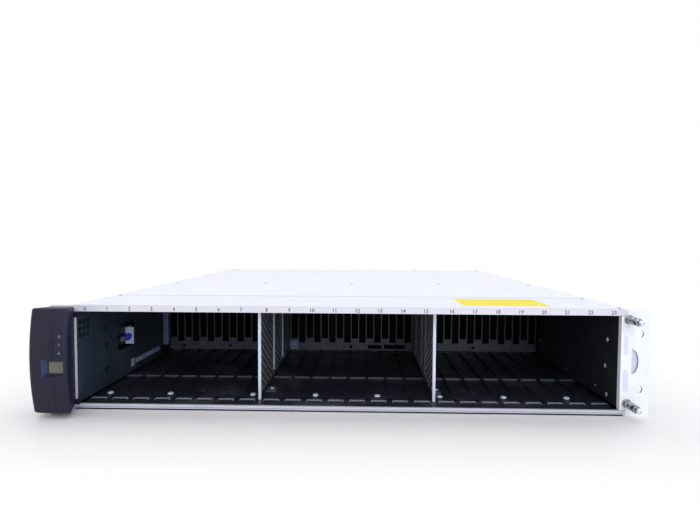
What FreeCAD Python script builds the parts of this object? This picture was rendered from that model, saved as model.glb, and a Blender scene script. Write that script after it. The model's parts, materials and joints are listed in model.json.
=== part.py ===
import FreeCAD, Part
import math
import os

# Two-unit rack disk shelf: an enclosure for upright 2.5 inch drives, open at the front, with two
# input/output modules and two power supplies in the back.
# Millimetres. X runs to the right and Y into the shelf, with Y = 0 at the front of the rack ears.
# Solids are modelled with Z = 0 on the underside, and saved with the origin at the middle of the
# four rack holes.

# --- Rack ------------------------------------------------------------------------------------
rack_width = 482.6
rack_hole_inset = 8.74
rack_hole_pitch = 44.45
rack_hole_radius = 3.5
rack_centre_rise = 1.075
ear_lip = 17.8

# --- Chassis ---------------------------------------------------------------------------------
body_height = 85.5
body_depth = 484.0
sheet = 1.2
top_flange = 8.0
front_hem_height = 4.4
front_hem_depth = 2.0
strip_height = 5.0
front_plate_depth = 75.0
plate_seam = 0.3
inner_gap = 0.3

# --- Rack ears -------------------------------------------------------------------------------
ear_sheet = 1.5
ear_leg = 60.0
ear_margin = 0.5
ear_return = 4.5
window_inset = 3.5
window_bow = 5.5
window_height = 20.4
bow_steps = 3
bow_turn = 22.5

# --- Ball studs that carry the end caps ------------------------------------------------------
stud_offset = 0.5
capped_stud_offset = 6.0
stud_drop = 8.0
stud_rise = 10.2
stud_collar_radius = 3.7
stud_barrel_radius = 3.1
stud_groove_radius = 2.4
stud_neck_radius = 1.6
stud_ball_radius = 2.2
stud_length = 20.2
stud_collar = 1.2
stud_first = 8.5
stud_groove = 10.0
stud_second = 15.0
stud_sides = 8

# --- Drive bays ------------------------------------------------------------------------------
bay_count = 24
group_size = 8
bay_side_margin = 0.9
divider_extra = 2.4
midplane_y = 199.0

# --- Floor and ceiling guides ----------------------------------------------------------------
guide_sheet = 1.2
guide_front_y = 2.3
step_y = 88.6
step_rise = 1.5
notch_width = 12.0
notch_start = 16.2
notch_end = 20.4
notch_lip = 0.9
rib_width = 2.0
rib_height = 2.2
rib_start = 40.5
rib_end_gap = 2.0

# --- Bay dividers ----------------------------------------------------------------------------
divider_front = 21.0
divider_gap = 1.5
hem_width = 2.4
hem_length = 2.6
divider_rib_reach = 2.4
divider_rib_lift = 10.1
rib_rows_right = (82.5, 134.0)
rib_rows_left = (69.0, 97.0, 147.0)
hole_size = 5.0
hole_pitch = 16.0
hole_margin = 8.0
foot_start = 44.0
foot_length = 10.0
foot_width = 10.0

# --- Side liners -----------------------------------------------------------------------------
liner_offset = 3.8
liner_sheet = 0.8
liner_lift = 3.4
liner_end_left = 165.0
liner_end_right = 178.0
vent_radius = 1.4
vent_count = 3
vent_start = 3.0
vent_pitch_y = 6.0
vent_pitch_z = 5.5
vent_drop = 9.2
oval_y = 45.0
oval_half_width = 1.6
oval_half_height = 3.2
oval_shares = (0.204, 0.5, 0.715)
latch_window_start = 66.0
latch_window_end = 101.0
latch_window_low = 33.0
latch_window_high = 57.0
port_hole_radius = 2.2
port_hole_places = ((22.0, 0.69), (24.8, 0.385), (21.3, 0.067))
flange_y = 180.0
flange_low = 15.0
flange_reach = 2.5

# --- Latch behind the left liner -------------------------------------------------------------
latch_y = 88.0
latch_offset = 0.1
latch_z = 42.9
bracket_low = 35.3
bracket_high = 51.8
bracket_reach = 4.3
bracket_depth = 11.0
knob_radius = 3.5
knob_length = 5.0
knob_flutes = 7
flute_depth = 0.5
shank_radius = 1.3
shank_length = 8.0
shank_tail = 6.5
shank_clearance = 0.05
tip_radius = 2.4
tip_length = 1.4

# --- Stiffener, midplane and connectors ------------------------------------------------------
stiffener_lift = 1.8
stiffener_flange = 8.0
slot_width = 7.9
slot_margin = 15.1
long_slot_low = 15.0
short_slot_low = 20.0
foot_slot_low = 7.6
foot_slot_high = 12.4
foot_slot_shares = ((0.092, 0.167), (0.179, 0.294))
foot_hole_radius = 2.0
foot_hole_shares = (-0.919, -0.662, -0.312, -0.001, 0.662)
board_thickness = 3.0
board_window_gap = 2.0
board_window_margin = 4.0
connector_width = 5.2
connector_low = 24.0
connector_height = 38.0
header_width = 38.0
header_height = 10.0
header_rise = 12.0
header_gap = 2.0
header_shares = (-0.27, 0.09)
supply_header_share = 0.742

# --- Rear bays -------------------------------------------------------------------------------
centre_share = 0.4768
rear_clearance = 0.5
module_front_gap = 9.0
panel_inset = 3.0
panel_sheet = 1.5
case_wall = 1.0

# --- Module ports ----------------------------------------------------------------------------
port_count = 4
port_width = 18.5
port_height = 9.5
port_depth = 14.0
port_pitch = 23.0
port_lift = 18.0
port_margin = 16.0
jack_count = 2
jack_width = 15.0
jack_height = 13.0
jack_pitch = 19.0
jack_lift = 16.0
jack_margin = 45.5

# --- Cam levers ------------------------------------------------------------------------------
lever_thickness = 8.0
lever_pivot_out = 5.0
lever_radius = 3.4
lever_bar = 3.0
lever_hook = 9.0
lever_hook_width = 3.0
lever_stand_off = 1.0
pin_radius = 1.5
pin_clearance = 0.05
lug_half = 4.0
lug_thickness = 1.6
module_lever_length = 84.0
module_lever_lift = 3.0
module_pivot_inset = 9.0
supply_lever_length = 66.0
supply_lever_drop = 14.8
supply_pivot_inset = 8.0

# --- Power supplies --------------------------------------------------------------------------
fan_radius = 28.5
fan_clearance = 1.5
fan_margin = 2.0
fan_depth = 20.0
fan_boss = 5.0
fan_boss_radius = 4.0
fan_hub = 11.0
fan_blades = 7
blade_lean = 5.0
blade_sheet = 1.5
spindle_length = 14.0
spindle_bore = 10.0
well_sides = 24
guard_rings = ((7.0, 12.0), (13.5, 18.5), (20.0, 25.0))
guard_spoke = 16.0
inlet_inset = 26.1
inlet_z = 24.0
inlet_width = 24.0
inlet_height = 16.0
inlet_depth = 16.0
inlet_shell = 1.5
inlet_pin_places = ((-7.0, -2.0), (0.0, 2.0), (7.0, -2.0))
inlet_pin_half_width = 1.0
inlet_pin_half_height = 2.0
inlet_pin_recess = 3.0
rocker_z = 49.0
rocker_half = 9.5
rocker_height = 12.0
rocker_clearance = 0.8
rocker_depth = 12.0
rocker_thickness = 4.6
rocker_belly = 6.0
rocker_proud = 3.0
rocker_pivot_depth = 1.0
rocker_end_radius = 9.7
bail_wire = 1.0
bail_half = 17.0
bail_drop = 24.0
bail_out = 2.5
bail_rise = 12.5
bail_stub = 6.5
bail_bend = 2.5
bail_ear = 1.6
bail_ear_inset = 1.5
bail_clearance = 0.2

# --- Left end cap ----------------------------------------------------------------------------
cap_depth = 24.5
cap_crown = 3.8
cap_side_crown = 0.7
cap_low = 4.5
cap_front_inset = 11.5
cap_rear_inset = 2.3
cap_ridge_inset = 1.8
cap_wall = 1.8
cap_spans = 6
cap_corner_depth = 4.0
cap_corner_width = 4.0
cap_brow = 0.6
cap_bevel_width = 3.0
cap_bevel_depth = 2.6
lip_low_height = 4.1
lip_high_drop = 9.4
lip_reach = 4.7
lip_depth = 3.0
display_inset = 14.3
display_width = 11.0
display_low = 36.2
display_high = 45.0
display_depth = 4.0
window_sheet = 1.5
window_clearance = 0.05
pocket_inset = 9.1
pocket_width = 18.3
pocket_low = 35.0
pocket_high = 46.4
pocket_flare = 1.6
pocket_overcut = 1.0
socket_wall = 2.0
socket_depth = 14.0
socket_start = 3.0
digit_depth = 3.0
digit_inset = 1.5
digit_frame = 1.0
cap_board_sheet = 1.6
cap_board_inset = 5.3
cap_board_low = 26.0
cap_board_high = 56.0
cap_post_inset = 2.5
cap_post_radius = 2.0

# --- Derived ---------------------------------------------------------------------------------
body_width = rack_width - 2 * ear_lip
half_width = body_width / 2
wall_face = half_width - sheet
rack_hole_x = rack_width / 2 - rack_hole_inset
rack_centre_z = body_height / 2 + rack_centre_rise
rack_hole_low = rack_centre_z - rack_hole_pitch / 2
window_flat_x = half_width + window_inset
stud_x = half_width + stud_offset
stud_x_capped = half_width + capped_stud_offset
stud_high_z = body_height - stud_drop
cover_under = body_height - sheet
ceiling_under = cover_under - guide_sheet
guide_top = sheet + guide_sheet
guide_edge = wall_face - inner_gap
step_top = guide_top + step_rise
bay_pitch = 2 * (wall_face - divider_extra - bay_side_margin) / bay_count
divider_x = group_size / 2 * bay_pitch + divider_extra / 2
liner_face = wall_face - liner_offset
liner_low = guide_top + liner_lift
liner_high = body_height - strip_height - inner_gap
latch_x = latch_offset - liner_face
stiffener_low = step_top + stiffener_lift
stiffener_high = ceiling_under - inner_gap
slot_top = ceiling_under - slot_margin
board_y = midplane_y + sheet + stiffener_flange
board_back = board_y + board_thickness
module_front = board_back + module_front_gap
panel_y = body_depth - panel_inset
panel_back = panel_y + panel_sheet
centre_half_width = wall_face * centre_share
module_floor = sheet + inner_gap
module_height = (cover_under - 2 * sheet) / 2 - 2 * inner_gap
module_half = centre_half_width - rear_clearance
clevis_span = lever_thickness + 2 * inner_gap + lug_thickness
supply_width = wall_face - centre_half_width - sheet - 2 * rear_clearance
supply_height = ceiling_under - inner_gap - module_floor
supply_lever_z = module_floor + supply_height - supply_lever_drop
fan_x = fan_radius + fan_clearance + fan_margin
inlet_x = supply_width - inlet_inset
cap_high = body_height
cap_outer_x = rack_width / 2
cap_front_x = half_width - cap_front_inset
cap_rear_x = half_width - cap_rear_inset
cap_ridge_x = half_width - cap_ridge_inset
display_outer = cap_outer_x - display_inset
display_inner = display_outer - display_width
pocket_outer = cap_outer_x - pocket_inset
pocket_inner = pocket_outer - pocket_width
cap_board_outer = cap_outer_x - cap_board_inset
cap_face_y = -(cap_depth + cap_crown)
cap_inner_y = cap_wall - cap_depth
cap_board_y = cap_inner_y + cap_brow + digit_depth

AXES = {"x": FreeCAD.Vector(1, 0, 0), "y": FreeCAD.Vector(0, 1, 0), "z": FreeCAD.Vector(0, 0, 1)}
MODULES = {"lower": 0, "upper": 1}
SUPPLIES = {"left": rear_clearance - wall_face, "right": centre_half_width + sheet + rear_clearance}


def box(x0, x1, y0, y1, z0, z1):
    """A block between two corners."""
    return Part.makeBox(x1 - x0, y1 - y0, z1 - z0, FreeCAD.Vector(x0, y0, z0))


def place(axis, along, a, b):
    """The point at a distance along an axis and at (a, b) on the two other axes, in X, Y, Z order."""
    if axis == "x":
        return FreeCAD.Vector(along, a, b)
    if axis == "y":
        return FreeCAD.Vector(a, along, b)
    return FreeCAD.Vector(a, b, along)


def rod(axis, radius, start, length, a, b):
    """A round rod along an axis, with (a, b) its place on the two other axes."""
    return Part.makeCylinder(radius, length, place(axis, start, a, b), AXES[axis])


def outline_wire(axis, start, loop):
    """A closed wire from a list of points, or from a centre and a radius."""
    if not isinstance(loop[1], tuple):
        centre, radius = loop
        return Part.Wire(Part.makeCircle(radius, place(axis, start, *centre), AXES[axis]))
    points = [place(axis, start, a, b) for a, b in loop]
    return Part.makePolygon(points + points[:1])


def slab(axis, start, thickness, outline, holes=()):
    """A flat plate with holes. Outlines are lists of (a, b) points, and round holes ((a, b), radius)."""
    loops = [outline_wire(axis, start, loop) for loop in [outline, *holes]]
    face = Part.makeFace(loops, "Part::FaceMakerBullseye")
    return face.extrude(AXES[axis] * thickness)


def faceted(rings):
    """A solid through rings with the same number of points, with flat facets between them."""
    faces = [Part.Face(Part.makePolygon(ring + ring[:1])) for ring in (rings[0], rings[-1])]
    for lower, upper in zip(rings, rings[1:]):
        for k, point in enumerate(lower):
            for corners in ([lower[k - 1], point, upper[k]], [lower[k - 1], upper[k], upper[k - 1]]):
                faces.append(Part.Face(Part.makePolygon(corners + corners[:1])))
    solid = Part.makeSolid(Part.makeShell(faces))
    return solid if solid.Volume > 0 else solid.reversed()


def rectangle(a0, a1, b0, b1):
    """The corners of a rectangle."""
    return [(a0, b0), (a1, b0), (a1, b1), (a0, b1)]


def polygon(a, b, radius, sides=6, radius_b=None):
    """The corners of a regular polygon, or of one stretched to another radius along b."""
    step = 2 * math.pi / sides
    tall = radius_b or radius
    return [(a + radius * math.cos(k * step), b + tall * math.sin(k * step)) for k in range(sides)]


def mirrored(side, near, far):
    """Two distances from the middle plane as a rising pair of X values on one side of it."""
    return sorted((side * near, side * far))


def fused(shapes):
    """One solid from pieces that touch."""
    return shapes[0].multiFuse(shapes[1:]).removeSplitter()


def bay_centre(bay):
    """The middle of a bay across the shelf."""
    group = bay // group_size
    return (bay - (bay_count - 1) / 2) * bay_pitch + (group - 1) * divider_extra


def bay_boundaries():
    """The lines between neighbouring bays of a group."""
    return [bay_centre(bay) + bay_pitch / 2 for bay in range(bay_count) if (bay + 1) % group_size]


# --- Chassis ---------------------------------------------------------------------------------
def chassis_tray():
    """Base, side walls and top flanges folded from one sheet, with a hem along the front."""
    right = [(half_width, 0), (half_width, cover_under), (half_width - top_flange, cover_under),
             (half_width - top_flange, ceiling_under), (wall_face, ceiling_under), (wall_face, sheet)]
    profile = right + [(-x, z) for x, z in reversed(right)]
    tray = slab("y", ear_sheet, body_depth - ear_sheet, profile)
    sill = box(-half_width, half_width, 0, front_hem_depth, 0, front_hem_height)
    return fused([tray, sill])


def front_plate():
    """Top plate over the drive bays, with the number strip folded down at the front."""
    plate = box(-half_width, half_width, 0, front_plate_depth, cover_under, body_height)
    strip = box(-half_width, half_width, 0, sheet, body_height - strip_height, cover_under)
    return fused([plate, strip])


def rear_cover():
    """Top cover behind the front plate."""
    return box(-half_width, half_width, front_plate_depth + plate_seam, body_depth, cover_under, body_height)


def ear(side):
    """Rack ear: a flange with rack holes and a bowed window, and a leg along the wall.

    The right ear also turns back along the mouth of the bays, where no liner covers its edge.
    """
    inner = liner_face if side > 0 else liner_face + liner_sheet
    low, high = front_hem_height + inner_gap, body_height - strip_height - inner_gap
    bow = [(side * window_flat_x, rack_centre_z - window_height / 2),
           (side * window_flat_x, rack_centre_z + window_height / 2)]
    for step in range(bow_steps, -bow_steps - 1, -1):
        angle = math.radians(step * bow_turn)
        bow.append((side * (window_flat_x + window_bow * math.cos(angle)),
                    rack_centre_z + window_height / 2 * math.sin(angle)))
    outline = [(inner, low), (half_width, low), (half_width, 0), (rack_width / 2, 0),
               (rack_width / 2, body_height), (half_width, body_height), (half_width, high), (inner, high)]
    holes = [((side * rack_hole_x, z), rack_hole_radius)
             for z in (rack_hole_low, rack_hole_low + rack_hole_pitch)]
    flange = slab("y", 0, ear_sheet, [(side * x, z) for x, z in outline], [*holes, bow])
    leg = box(*mirrored(side, half_width, half_width + ear_sheet), ear_sheet, ear_leg,
              ear_margin, body_height - ear_margin)
    pieces = [flange, leg]
    if side > 0:
        pieces.append(box(inner, inner + ear_sheet, ear_sheet, ear_return, low, high))
    return fused(pieces)


def ball_stud(x, z):
    """Turned stud: collar, two barrels with a groove between them, a neck and a ball end."""
    ball_y = stud_length - stud_ball_radius
    steps = [(0, stud_collar, stud_collar_radius), (stud_collar, stud_first, stud_barrel_radius),
             (stud_first, stud_groove, stud_groove_radius), (stud_groove, stud_second, stud_barrel_radius),
             (stud_second, ball_y, stud_neck_radius)]
    pieces = [slab("y", -end, end - start, polygon(x, z, radius, stud_sides)) for start, end, radius in steps]
    rings = []
    for degrees in (-45, 0, 45, 75):
        angle = math.radians(degrees)
        ring = polygon(x, z, stud_ball_radius * math.cos(angle), stud_sides)
        rings.append(outline_wire("y", -(ball_y + stud_ball_radius * math.sin(angle)), ring))
    pieces.append(Part.makeLoft(rings, True, True))
    return fused(pieces)


def ball_studs():
    """Two studs on each ear."""
    return Part.makeCompound([ball_stud(x, z) for x in (-stud_x_capped, stud_x)
                              for z in (stud_rise, stud_high_z)])


# --- Bay fittings ----------------------------------------------------------------------------
def guide_rib(x, y0, y1, z):
    """A low rib along the shelf with a pointed front end."""
    half = rib_width / 2
    return slab("z", z, rib_height, [(x - half, y1), (x - half, y0 + rib_width), (x, y0),
                                     (x + half, y0 + rib_width), (x + half, y1)])


def floor_guide_front():
    """Black floor plate with a notch and raised lip in each bay and a guide rib between bays."""
    end = step_y - inner_gap
    spans = [(bay_centre(b) - notch_width / 2, bay_centre(b) + notch_width / 2) for b in range(bay_count)]
    notches = [rectangle(*span, notch_start, notch_end) for span in spans]
    plate = slab("z", sheet, guide_sheet, rectangle(-guide_edge, guide_edge, guide_front_y, end), notches)
    lips = [box(*span, notch_end, notch_end + notch_lip, guide_top, guide_top + notch_lip) for span in spans]
    ribs = [guide_rib(x, rib_start, end, guide_top) for x in bay_boundaries()]
    return fused([plate, *lips, *ribs])


def floor_guide_rear():
    """Raised floor plate between the step and the stiffener, with the same ribs."""
    end = midplane_y - rib_end_gap
    deck = step_top - guide_sheet
    profile = [(step_y, sheet), (step_y, step_top), (end, step_top), (end, sheet),
               (end - guide_sheet, sheet), (end - guide_sheet, deck), (step_y + guide_sheet, deck),
               (step_y + guide_sheet, sheet)]
    plate = slab("x", -guide_edge, 2 * guide_edge, profile)
    return fused([plate, *[guide_rib(x, step_y + rib_width, end, step_top) for x in bay_boundaries()]])


def ceiling_guide():
    """Plate under the top plates with ribs that match those of the floor."""
    edge = half_width - top_flange - inner_gap
    end = midplane_y - rib_end_gap
    plate = box(-edge, edge, guide_front_y, end, ceiling_under, cover_under)
    low = ceiling_under - rib_height
    ribs = [box(x - rib_width / 2, x + rib_width / 2, rib_start, end, low, ceiling_under)
            for x in bay_boundaries()]
    return fused([plate, *ribs])


def bay_divider(x):
    """Perforated upright between two groups of bays, with a front hem, ribs and a foot."""
    back = midplane_y - divider_gap
    low, high = guide_top, ceiling_under
    half = sheet / 2
    outline = [(divider_front, low), (step_y - inner_gap, low), (step_y - inner_gap, step_top),
               (back, step_top), (back, high), (divider_front, high)]
    pitch_y = hole_pitch * math.sin(math.radians(60))
    first = divider_front + hem_length + hole_margin
    columns = int((back - hole_margin - first) / pitch_y) + 1
    rows = int((high - low - 2 * hole_margin) / hole_pitch)
    blocked = [y + half for y in rib_rows_left + rib_rows_right]
    holes = []
    for column in range(columns):
        y = first + column * pitch_y
        if min(abs(y - rib) for rib in blocked) < hole_size + half:
            continue
        for row in range(rows):
            z = low + 1.5 * hole_margin + (row + column % 2 / 2) * hole_pitch
            holes.append(polygon(y, z, hole_size, 4))
    web = slab("x", x - half, sheet, outline, holes)
    hem = box(x - hem_width / 2, x + hem_width / 2, divider_front, divider_front + hem_length, low, high)
    pieces = [web, hem]
    for side, rows_of_ribs in ((1, rib_rows_right), (-1, rib_rows_left)):
        reach = sorted((x + side * half, x + side * (half + divider_rib_reach)))
        pieces += [box(*reach, y, y + sheet, low + divider_rib_lift, high) for y in rows_of_ribs]
    pieces.append(box(x + half, x + foot_width, foot_start, foot_start + foot_length, low, low + sheet))
    return fused(pieces)


def liner(side):
    """Thin inner side sheet with folds along its top, foot and back that stand on the chassis wall."""
    height = liner_high - liner_low
    fold_start = ear_return + inner_gap
    if side > 0:
        start, end = fold_start, liner_end_right
        holes = [polygon(y, liner_low + share * height, port_hole_radius, 8) for y, share in port_hole_places]
    else:
        start, end = 0, liner_end_left
        holes = [polygon(vent_start + column * vent_pitch_y, liner_high - vent_drop - row * vent_pitch_z,
                         vent_radius) for row in range(vent_count) for column in range(vent_count)]
        holes += [polygon(oval_y, liner_low + share * height, oval_half_width, 8, oval_half_height)
                  for share in oval_shares]
        holes.append(rectangle(latch_window_start, latch_window_end, latch_window_low, latch_window_high))
    face = slab("x", mirrored(side, liner_face, liner_face + liner_sheet)[0], liner_sheet,
                rectangle(start, end, liner_low, liner_high), holes)
    span = mirrored(side, liner_face + liner_sheet, wall_face)
    folds = [box(*span, fold_start, end, z, z + liner_sheet) for z in (liner_low, liner_high - liner_sheet)]
    folds.append(box(*mirrored(side, liner_face, wall_face), end, end + liner_sheet, liner_low, liner_high))
    return fused([face, *folds])


def wall_flange():
    """Upright bracket on the left wall behind the liner, facing the front."""
    top = liner_high - liner_sheet
    front = box(-wall_face, flange_reach - liner_face, flange_y, flange_y + sheet, flange_low, top)
    leg = box(-wall_face, sheet - wall_face, flange_y, midplane_y - divider_gap, flange_low, top)
    return fused([front, leg])


# --- Latch behind the left liner -------------------------------------------------------------
def latch_bracket():
    """Angle bracket in the liner's window, with a clearance hole for the knob's screw."""
    plate = slab("y", latch_y, sheet,
                 rectangle(-wall_face, bracket_reach - liner_face, bracket_low, bracket_high),
                 [((latch_x, latch_z), shank_radius + shank_clearance)])
    leg = box(-wall_face, sheet - wall_face, latch_y, latch_y + bracket_depth, bracket_low, bracket_high)
    return fused([plate, leg])


def latch_knob():
    """Round thumb knob with flutes, on a screw with a driving head in front."""
    front = latch_y - inner_gap - knob_length
    outline = []
    for k in range(2 * knob_flutes):
        radius = knob_radius - k % 2 * flute_depth
        angle = math.pi * k / knob_flutes
        outline.append((latch_x + radius * math.cos(angle), latch_z + radius * math.sin(angle)))
    grip = slab("y", front, knob_length, outline)
    head_y = front - shank_length
    shank = rod("y", shank_radius, head_y, shank_length + knob_length + shank_tail, latch_x, latch_z)
    head = slab("y", head_y - tip_length, tip_length, polygon(latch_x, latch_z, tip_radius, 8))
    return fused([grip, shank, head])


# --- Stiffener and midplane ------------------------------------------------------------------
def stiffener():
    """Slotted plate in front of the midplane: a long and a short upright slot in every bay."""
    gap = (bay_pitch / 2 - slot_width) / 2
    slots = []
    for bay in range(bay_count):
        x = bay_centre(bay)
        slots.append(rectangle(x + gap, x + gap + slot_width, long_slot_low, slot_top))
        slots.append(rectangle(x - gap - slot_width, x - gap, short_slot_low, slot_top))
    slots += [rectangle(start * wall_face, end * wall_face, foot_slot_low, foot_slot_high)
              for start, end in foot_slot_shares]
    foot_middle = (foot_slot_low + foot_slot_high) / 2
    slots += [polygon(share * wall_face, foot_middle, foot_hole_radius) for share in foot_hole_shares]
    plate = slab("y", midplane_y, sheet,
                 rectangle(-guide_edge, guide_edge, stiffener_low, stiffener_high), slots)
    folds = [box(-guide_edge, guide_edge, midplane_y + sheet, board_y, z, z + sheet)
             for z in (stiffener_low, stiffener_high - sheet)]
    return fused([plate, *folds])


def midplane_board():
    """Circuit board across the shelf, with an air window beside each drive connector."""
    windows = [rectangle(bay_centre(bay) - slot_width, bay_centre(bay) - board_window_gap,
                         short_slot_low + board_window_gap, slot_top - board_window_margin)
               for bay in range(bay_count)]
    return slab("y", board_y, board_thickness,
                rectangle(-guide_edge, guide_edge, stiffener_low, stiffener_high), windows)


def drive_connectors():
    """Upright receptacles on the midplane, one behind the long slot of every bay."""
    solids = []
    for bay in range(bay_count):
        x = bay_centre(bay) + bay_pitch / 4
        solids.append(box(x - connector_width / 2, x + connector_width / 2, midplane_y + sheet + inner_gap,
                          board_y, connector_low, connector_low + connector_height))
    return Part.makeCompound(solids)


def module_connectors():
    """Headers on the back of the midplane for the modules and the power supplies."""
    spots = [(share * wall_face, z + header_rise) for z in module_levels() for share in header_shares]
    spots += [(side * supply_header_share * wall_face, body_height / 2) for side in (-1, 1)]
    return Part.makeCompound([box(x, x + header_width, board_back, module_front - header_gap,
                                  z, z + header_height) for x, z in spots])


# --- Rear bays -------------------------------------------------------------------------------
def module_levels():
    """The floors of the lower and upper module."""
    shelf_top = (sheet + cover_under) / 2 + sheet / 2
    return (module_floor, shelf_top + inner_gap)


def rear_partition(side):
    """Upright sheet between the module bay and a power supply bay."""
    return box(*mirrored(side, centre_half_width, centre_half_width + sheet),
               board_back + inner_gap, body_depth, sheet, cover_under)


def module_shelf():
    """Sheet between the two stacked modules."""
    middle = (sheet + cover_under) / 2
    return box(-centre_half_width, centre_half_width, module_front, panel_y,
               middle - sheet / 2, middle + sheet / 2)


def port_mouths(z):
    """The mouths of the port cages: the storage ports and the network jacks."""
    mouths = []
    for k in range(port_count):
        x = module_half - port_margin - port_width - k * port_pitch
        mouths.append((x, x + port_width, z + port_lift, z + port_lift + port_height))
    for k in range(jack_count):
        x = jack_margin - module_half + k * jack_pitch
        mouths.append((x, x + jack_width, z + jack_lift, z + jack_lift + jack_height))
    return mouths


def cages(z, wall):
    """The port cages as blocks, with a wall round them or bare."""
    back = panel_y - port_depth - wall
    return Part.makeCompound([box(x0 - wall, x1 + wall, back, panel_y, z0 - wall, z1 + wall)
                              for x0, x1, z0, z1 in port_mouths(z)])


def module_case(level):
    """Closed module housing with pockets for its ports behind the panel."""
    z = module_levels()[level]
    case = box(-module_half, module_half, module_front, panel_y, z, z + module_height)
    inside = box(case_wall - module_half, module_half - case_wall, module_front + case_wall,
                 panel_y - case_wall, z + case_wall, z + module_height - case_wall)
    return case.cut(inside.cut(cages(z, case_wall))).cut(cages(z, 0))


def clevis(x, y, z):
    """Two lugs and a pin that hold a lever in front of a panel."""
    lugs = [box(x - lug_half, x + lug_half, panel_back, y + lug_half, z + dz, z + dz + lug_thickness)
            for dz in (0, clevis_span)]
    return [*lugs, rod("z", pin_radius, z, clevis_span + lug_thickness, x, y)]


def module_panel(level):
    """Rear panel with port openings and the lever's clevis and pin."""
    z = module_levels()[level]
    holes = [rectangle(x0, x1, z0, z1) for x0, x1, z0, z1 in port_mouths(z)]
    panel = slab("y", panel_y, panel_sheet, rectangle(-module_half, module_half, z, z + module_height), holes)
    return fused([panel, *clevis(*module_pivot(), z + module_lever_lift)])


def module_pivot():
    """Where a module lever's pin stands."""
    return module_pivot_inset - module_half, panel_back + lever_pivot_out


def module_lever(level):
    """Cam lever along the foot of the panel, with a finger hook at its free end."""
    z = module_levels()[level] + module_lever_lift + lug_thickness + inner_gap
    return lever_solid(*module_pivot(), z, 1, module_lever_length)


def lever_solid(x, y, z, direction, length):
    """A lever that lies across a panel, eye at its pin and a hook at the other end."""
    y0 = panel_back + lever_stand_off
    end = x + direction * length
    hook = direction * lever_hook_width
    bar = [(x, y0), (end, y0), (end, y0 + lever_hook), (end - hook, y0 + lever_hook),
           (end - 2 * hook, y0 + lever_bar), (x, y0 + lever_bar)]
    eye = slab("z", z, lever_thickness, polygon(x, y, lever_radius, 12))
    hole = rod("z", pin_radius + pin_clearance, z, lever_thickness, x, y)
    return fused([slab("z", z, lever_thickness, bar), eye]).cut(hole)


# --- Power supplies --------------------------------------------------------------------------
def supply_wells(x0, wall):
    """The hollows in the back of a power supply, or the blocks around them when a wall is given."""
    x = x0 + inlet_x
    inlet_wall = inlet_shell + wall
    rocker_wall = rocker_clearance + wall
    return Part.makeCompound([
        slab("y", panel_y - fan_depth - wall, fan_depth + wall,
             polygon(x0 + fan_x, body_height / 2, fan_radius + fan_clearance + wall, well_sides)),
        box(x - inlet_width / 2 - inlet_wall, x + inlet_width / 2 + inlet_wall,
            panel_y - inlet_depth - inlet_wall, panel_y,
            inlet_z - inlet_height / 2 - inlet_wall, inlet_z + inlet_height / 2 + inlet_wall),
        box(x - rocker_half - rocker_wall, x + rocker_half + rocker_wall,
            panel_y - rocker_depth - wall, panel_y,
            rocker_z - rocker_height / 2 - rocker_wall, rocker_z + rocker_height / 2 + rocker_wall)])


def supply_case(x0):
    """Power supply housing with a fan well, an inlet pocket and a switch pocket in its back."""
    z = module_floor
    case = box(x0, x0 + supply_width, module_front, panel_y, z, z + supply_height)
    inside = box(x0 + case_wall, x0 + supply_width - case_wall, module_front + case_wall, panel_y - case_wall,
                 z + case_wall, z + supply_height - case_wall)
    shell = case.cut(inside.cut(supply_wells(x0, case_wall))).cut(supply_wells(x0, 0))
    floor = panel_y - fan_depth
    boss = slab("y", floor, fan_boss, polygon(x0 + fan_x, body_height / 2, fan_boss_radius, 8))
    spindle = rod("y", pin_radius, floor, spindle_length, x0 + fan_x, body_height / 2)
    return fused([shell, boss, spindle])


def ring_sector(a, b, inner, outer, start, end, steps=2):
    """The corners of a stretch of a flat ring."""
    angles = [math.radians(start + (end - start) * k / steps) for k in range(steps + 1)]
    return ([(a + outer * math.cos(t), b + outer * math.sin(t)) for t in angles]
            + [(a + inner * math.cos(t), b + inner * math.sin(t)) for t in reversed(angles)])


def supply_panel(x0):
    """Rear panel: a finger guard over the fan, the inlet and switch openings, the clevis and bail ears."""
    x = x0 + inlet_x
    holes = [ring_sector(x0 + fan_x, body_height / 2, inner, outer,
                         quarter * 90 + guard_spoke / 2, (quarter + 1) * 90 - guard_spoke / 2)
             for inner, outer in guard_rings for quarter in range(4)]
    holes.append(rectangle(x - inlet_width / 2, x + inlet_width / 2,
                           inlet_z - inlet_height / 2, inlet_z + inlet_height / 2))
    half, tall = rocker_half + rocker_clearance, rocker_height / 2 + rocker_clearance
    holes.append(rectangle(x - half, x + half, rocker_z - tall, rocker_z + tall))
    panel = slab("y", panel_y, panel_sheet,
                 rectangle(x0, x0 + supply_width, module_floor, module_floor + supply_height), holes)
    ears = []
    for side in (-1, 1):
        centre = x + side * (bail_half - bail_bend - bail_ear_inset)
        y, z = panel_back + bail_out, inlet_z + bail_rise
        start = centre - bail_ear / 2
        plate = slab("x", start, bail_ear, rectangle(panel_back, y, z - bail_out, z + bail_out))
        hole = slab("x", start, bail_ear, polygon(y, z, bail_wire + bail_clearance, 8))
        ears.append(plate.fuse(rod("x", bail_out, start, bail_ear, y, z)).cut(hole))
    return fused([panel, *clevis(*supply_pivot(x0), supply_lever_z), *ears])


def supply_pivot(x0):
    """Where a power supply lever's pin stands."""
    return x0 + supply_width - supply_pivot_inset, panel_back + lever_pivot_out


def supply_lever(x0):
    """Cam lever across the top of the power supply's panel."""
    return lever_solid(*supply_pivot(x0), supply_lever_z + lug_thickness + inner_gap, -1, supply_lever_length)


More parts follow.
